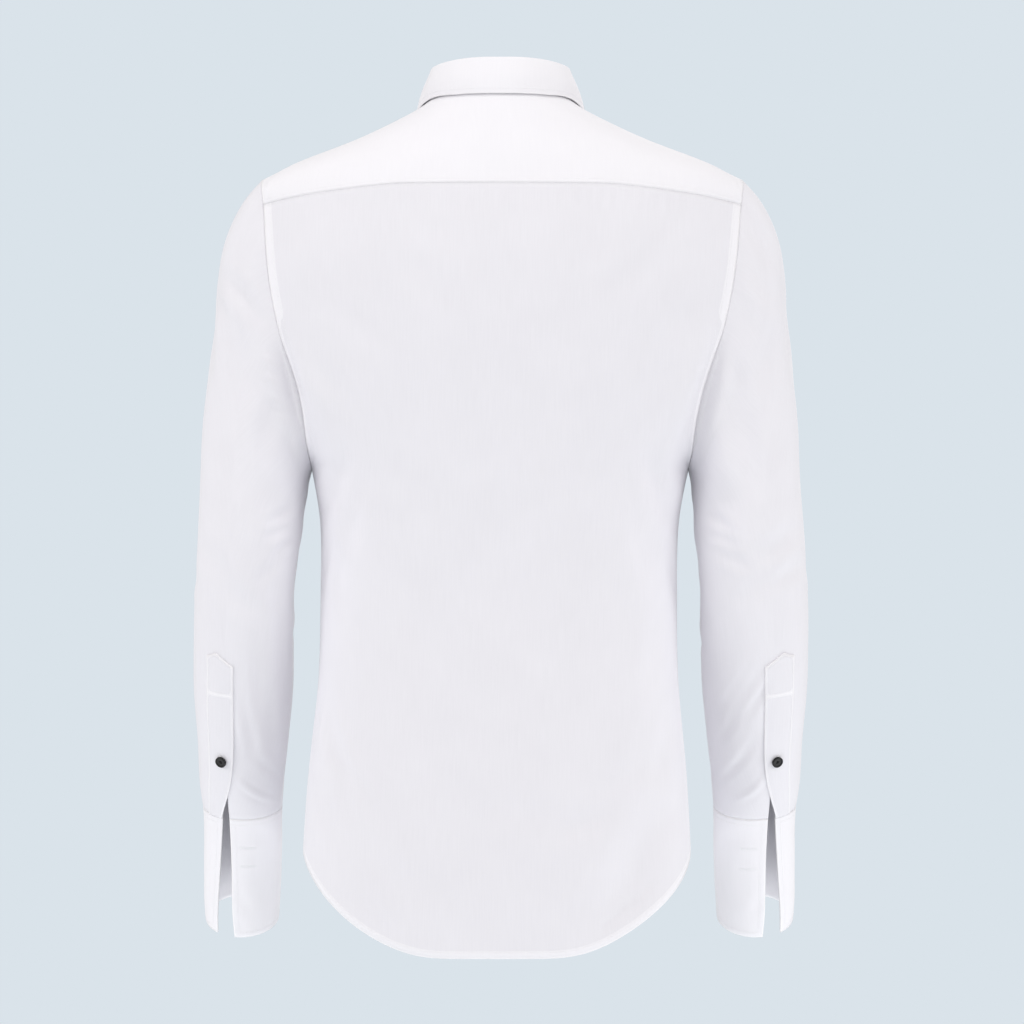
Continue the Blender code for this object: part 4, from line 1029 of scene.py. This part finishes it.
def cottonPoplin(name, layers):
    # woven cotton, bleached and pressed: matt, a faint fuzz at the edges, whiter where it lies double, and a
    # painted highlight along each sewn edge
    material, add = newMaterial(name)
    grain = add("ShaderNodeUVMap", uv_map="grain")
    waves = {"Vector": grain, "Scale": poplin["waves"] / poplin["thread"]}
    warp = add("ShaderNodeTexWave", waves, wave_type="BANDS", bands_direction="X").outputs[1]
    weft = add("ShaderNodeTexWave", waves, wave_type="BANDS", bands_direction="Y").outputs[1]
    weave = add("ShaderNodeMath", {0: warp, 1: weft}, operation="MAXIMUM")
    uneven = add("ShaderNodeMapping", {"Vector": grain, "Scale": (900, 34, 1)})
    slubs = add("ShaderNodeTexNoise", {"Vector": uneven, "Scale": 1.0, "Detail": 1.0})
    soft = add("ShaderNodeTexNoise", {"Vector": grain, "Scale": 22.0, "Detail": 2.0, "Roughness": 0.45})
    halfSoft = add("ShaderNodeMath", {0: soft, 1: 0.5}, operation="MULTIPLY")
    mottle = add("ShaderNodeMath", {0: slubs, 1: 0.5, 2: halfSoft}, operation="MULTIPLY_ADD")
    mottle = add("ShaderNodeMapRange", {"Value": mottle, "From Min": 0.30, "From Max": 0.70})

    # what fades with the distance from a sewn edge, counted in widths of its stitching
    share = add("ShaderNodeAttribute", attribute_name="seamShare", attribute_type="GEOMETRY").outputs["Fac"]
    offRow = add("ShaderNodeMath", {0: share, 1: poplin["rowAt"]}, operation="SUBTRACT")
    offRow = add("ShaderNodeMath", {0: offRow}, operation="ABSOLUTE")
    fades = []
    for value, ends in ((share, "bandEnds"), (offRow, "rowEnds"), (share, "gatherEnds"), (share, "edgeEnds")):
        low, high = poplin[ends]
        limits = {"Value": value, "From Min": low, "From Max": high, "To Min": 1.0, "To Max": 0.0}
        fades.append(add("ShaderNodeMapRange", limits, interpolation_type="SMOOTHSTEP"))
    band, row, nearSeam, edge = fades

    tones = []
    for light, shade in (poplin[layers], poplin["doubled"]):
        mix = {"Factor": mottle, "A": linear(shade), "B": linear(light)}
        tones.append(add("ShaderNodeMix", mix, data_type="RGBA"))
    # a sheet that is doubled all over is the same in its bands
    colour = add("ShaderNodeMix", {"Factor": band, "A": tones[0], "B": tones[1]}, data_type="RGBA")
    # painted highlight: the rim of every sewn edge is mixed towards near white, as if it caught the light
    white = add("ShaderNodeMath", {0: edge, 1: poplin["edgeShare"]}, operation="MULTIPLY")
    highlightMix = {"Factor": white, "A": colour, "B": linear(poplin["edge"])}
    colour = add("ShaderNodeMix", highlightMix, data_type="RGBA")

    # relief: slight waviness, the doubled cloth at a seam, its row of stitches, their gathering and the weave
    gather = add("ShaderNodeTexNoise", {"Vector": grain, "Scale": 170.0, "Detail": 0.0})
    gather = add("ShaderNodeMath", {0: gather, 1: nearSeam}, operation="MULTIPLY")
    relief = add("ShaderNodeMath", {0: soft, 1: poplin["soft"]}, operation="MULTIPLY")
    for value, height in ((band, "band"), (row, "groove"), (gather, "gather"), (weave, "weave")):
        relief = add("ShaderNodeMath", {0: value, 1: poplin[height], 2: relief}, operation="MULTIPLY_ADD")
    bump = add("ShaderNodeBump", {"Height": relief, "Strength": 1.0, "Distance": 0.001})
    shader = add("ShaderNodeBsdfPrincipled", {
        "Base Color": colour, "Normal": bump,
        "Roughness": poplin["roughness"], "IOR": 1.45, "Specular IOR Level": 0.3,
        "Sheen Weight": poplin["sheen"], "Sheen Roughness": 0.35, "Sheen Tint": linear("#ffffff"),
    })
    add("ShaderNodeOutputMaterial", {"Surface": shader})
    return material


def sewingThread(name, hexColour, roughness):
    # spun polyester thread: two plies twisted together, a little glossier than the cloth
    material, add = newMaterial(name)
    place = add("ShaderNodeTexCoord").outputs["Object"]
    twist = {"Vector": place, "Scale": 900.0, "Distortion": 1.0}
    plies = add("ShaderNodeTexWave", twist, wave_type="BANDS", bands_direction="DIAGONAL").outputs[1]
    darker = tuple(0.92 * part for part in linear(hexColour)[:3]) + (1.0,)
    colour = add("ShaderNodeMix", {"Factor": plies, "A": darker, "B": linear(hexColour)}, data_type="RGBA")
    bump = add("ShaderNodeBump", {"Height": plies, "Strength": 0.4, "Distance": 0.0001})
    shader = add("ShaderNodeBsdfPrincipled", {
        "Base Color": colour, "Normal": bump, "Roughness": roughness, "IOR": 1.5,
        "Sheen Weight": 0.1, "Sheen Roughness": 0.4,
    })
    add("ShaderNodeOutputMaterial", {"Surface": shader})
    return material


def polyesterButton():
    # cast polyester, turned and tumbled: near black, with a soft gloss and faint turning marks
    material, add = newMaterial("black_polyester")
    place = add("ShaderNodeTexCoord").outputs["Object"]
    cloud = add("ShaderNodeTexNoise", {"Vector": place, "Scale": 420.0, "Detail": 3.0})
    tones = {"Factor": cloud, "A": linear("#030304"), "B": linear("#08080a")}
    colour = add("ShaderNodeMix", tones, data_type="RGBA")
    rough = add("ShaderNodeMapRange", {"Value": cloud, "To Min": 0.30, "To Max": 0.46})
    bump = add("ShaderNodeBump", {"Height": cloud, "Strength": 0.15, "Distance": 0.0002})
    shader = add("ShaderNodeBsdfPrincipled", {
        "Base Color": colour, "Roughness": rough, "Normal": bump, "IOR": 1.5, "Specular IOR Level": 0.35,
    })
    add("ShaderNodeOutputMaterial", {"Surface": shader})
    return material


singleCloth = cottonPoplin("cotton_poplin", "single")
doubledCloth = cottonPoplin("cotton_poplin_doubled", "doubled")
whiteThread = sewingThread("white_thread", "#fafafd", 0.55)
blackThread = sewingThread("black_thread", "#0c0c0e", 0.6)
polyester = polyesterButton()
for name, piece in cloth.items():
    single = name.split("_")[0] in ("back", "front", "sleeve", "gauntlet")
    piece.data.materials.append(singleCloth if single else doubledCloth)
for pieces, material in ((threads, whiteThread), (buttonThreads, blackThread), (buttons, polyester)):
    for piece in pieces.values():
        piece.data.materials.clear()
        piece.data.materials.append(material)
print("materials on")


# stage, light and camera

stage = {"floor": -3.0, "half": 8.0, "colour": "#e3eaf0", "mark": "#e6edf2"}


def makeFloor():
    bpy.ops.mesh.primitive_plane_add(size=2 * stage["half"], location=(0, 0, stage["floor"]))
    floor = bpy.context.object
    bpy.ops.object.transform_apply(location=True, rotation=True, scale=True)
    floor.name = "floor"
    material, add = newMaterial("painted_floor")
    place = add("ShaderNodeTexCoord").outputs["Object"]
    cloud = add("ShaderNodeTexNoise", {"Vector": place, "Scale": 0.6, "Detail": 2.0})
    tones = {"Factor": cloud, "A": linear(stage["colour"]), "B": linear(stage["mark"])}
    colour = add("ShaderNodeMix", tones, data_type="RGBA")
    shader = add("ShaderNodeBsdfPrincipled", {"Base Color": colour, "Roughness": 0.95, "IOR": 1.45})
    add("ShaderNodeOutputMaterial", {"Surface": shader})
    floor.data.materials.append(material)


def softLight(name, place, aim, size, power):
    bpy.ops.object.light_add(type="AREA", location=place)
    light = bpy.context.object
    light.name = name
    light.rotation_euler = (Vector(aim) - Vector(place)).to_track_quat("-Z", "Y").to_euler()
    light.data.shape, light.data.size, light.data.energy = "SQUARE", size, power
    light.visible_camera = False


makeFloor()
# each light: its place, what it points at, its size and its power
lights = {
    "left": ((2.5, 1.5, 0.4), (0, 0, -0.40), 1.5, 22.0),
    "right": ((-2.5, 1.8, 0.3), (0, 0, -0.45), 1.7, 22.5),
    "top": ((0.1, 1.3, 2.4), (0, 0, -0.3), 1.5, 20.0),
    "lowLeft": ((1.2, 0.35, -2.0), (0.2, 0, -0.65), 1.5, 9.5),
    "lowRight": ((-1.2, 0.40, -2.0), (-0.2, 0, -0.65), 1.5, 11.5),
    "front": ((-0.6, -3.0, 0.8), (0, 0, -0.4), 1.8, 22.0),
}
for name, settings in lights.items():
    softLight(name, *settings)

# the room: even white light, and a pale blue wall wherever one looks past the shirt
room = {"white": "#fffcfb", "strength": 0.625, "wall": "#dae3ea"}
world = bpy.context.scene.world or bpy.data.worlds.new("studio")
bpy.context.scene.world = world
world.use_nodes = True
world.node_tree.nodes.clear()
add = partial(addNode, world.node_tree)
white = add("ShaderNodeBackground", {"Color": linear(room["white"]), "Strength": room["strength"]})
wall = add("ShaderNodeBackground", {"Color": linear(room["wall"])})
seen = add("ShaderNodeLightPath").outputs["Is Camera Ray"]
shown = add("ShaderNodeMixShader", {0: seen, 1: white, 2: wall})
add("ShaderNodeOutputWorld", {"Surface": shown})
bpy.context.scene.view_settings.view_transform = "Standard"

view = {"place": (-0.01125, 3.2, -0.3726), "turn": (90, 0, 180), "lens": 125, "sensor": 36}
bpy.ops.object.camera_add(location=view["place"], rotation=[math.radians(turn) for turn in view["turn"]])
camera = bpy.context.object
camera.name = "camera"
camera.data.lens, camera.data.sensor_width = view["lens"], view["sensor"]
bpy.context.scene.camera = camera


# what each piece stands for

for name, cut in cuts.items():
    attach(cloth[name], "root")
    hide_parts(cut["node"])
for piece in threads.values():
    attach(piece, "root")
for node, piece in buttons.items():
    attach(piece, "root")
    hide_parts(node)
    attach(buttonThreads[node], "root")
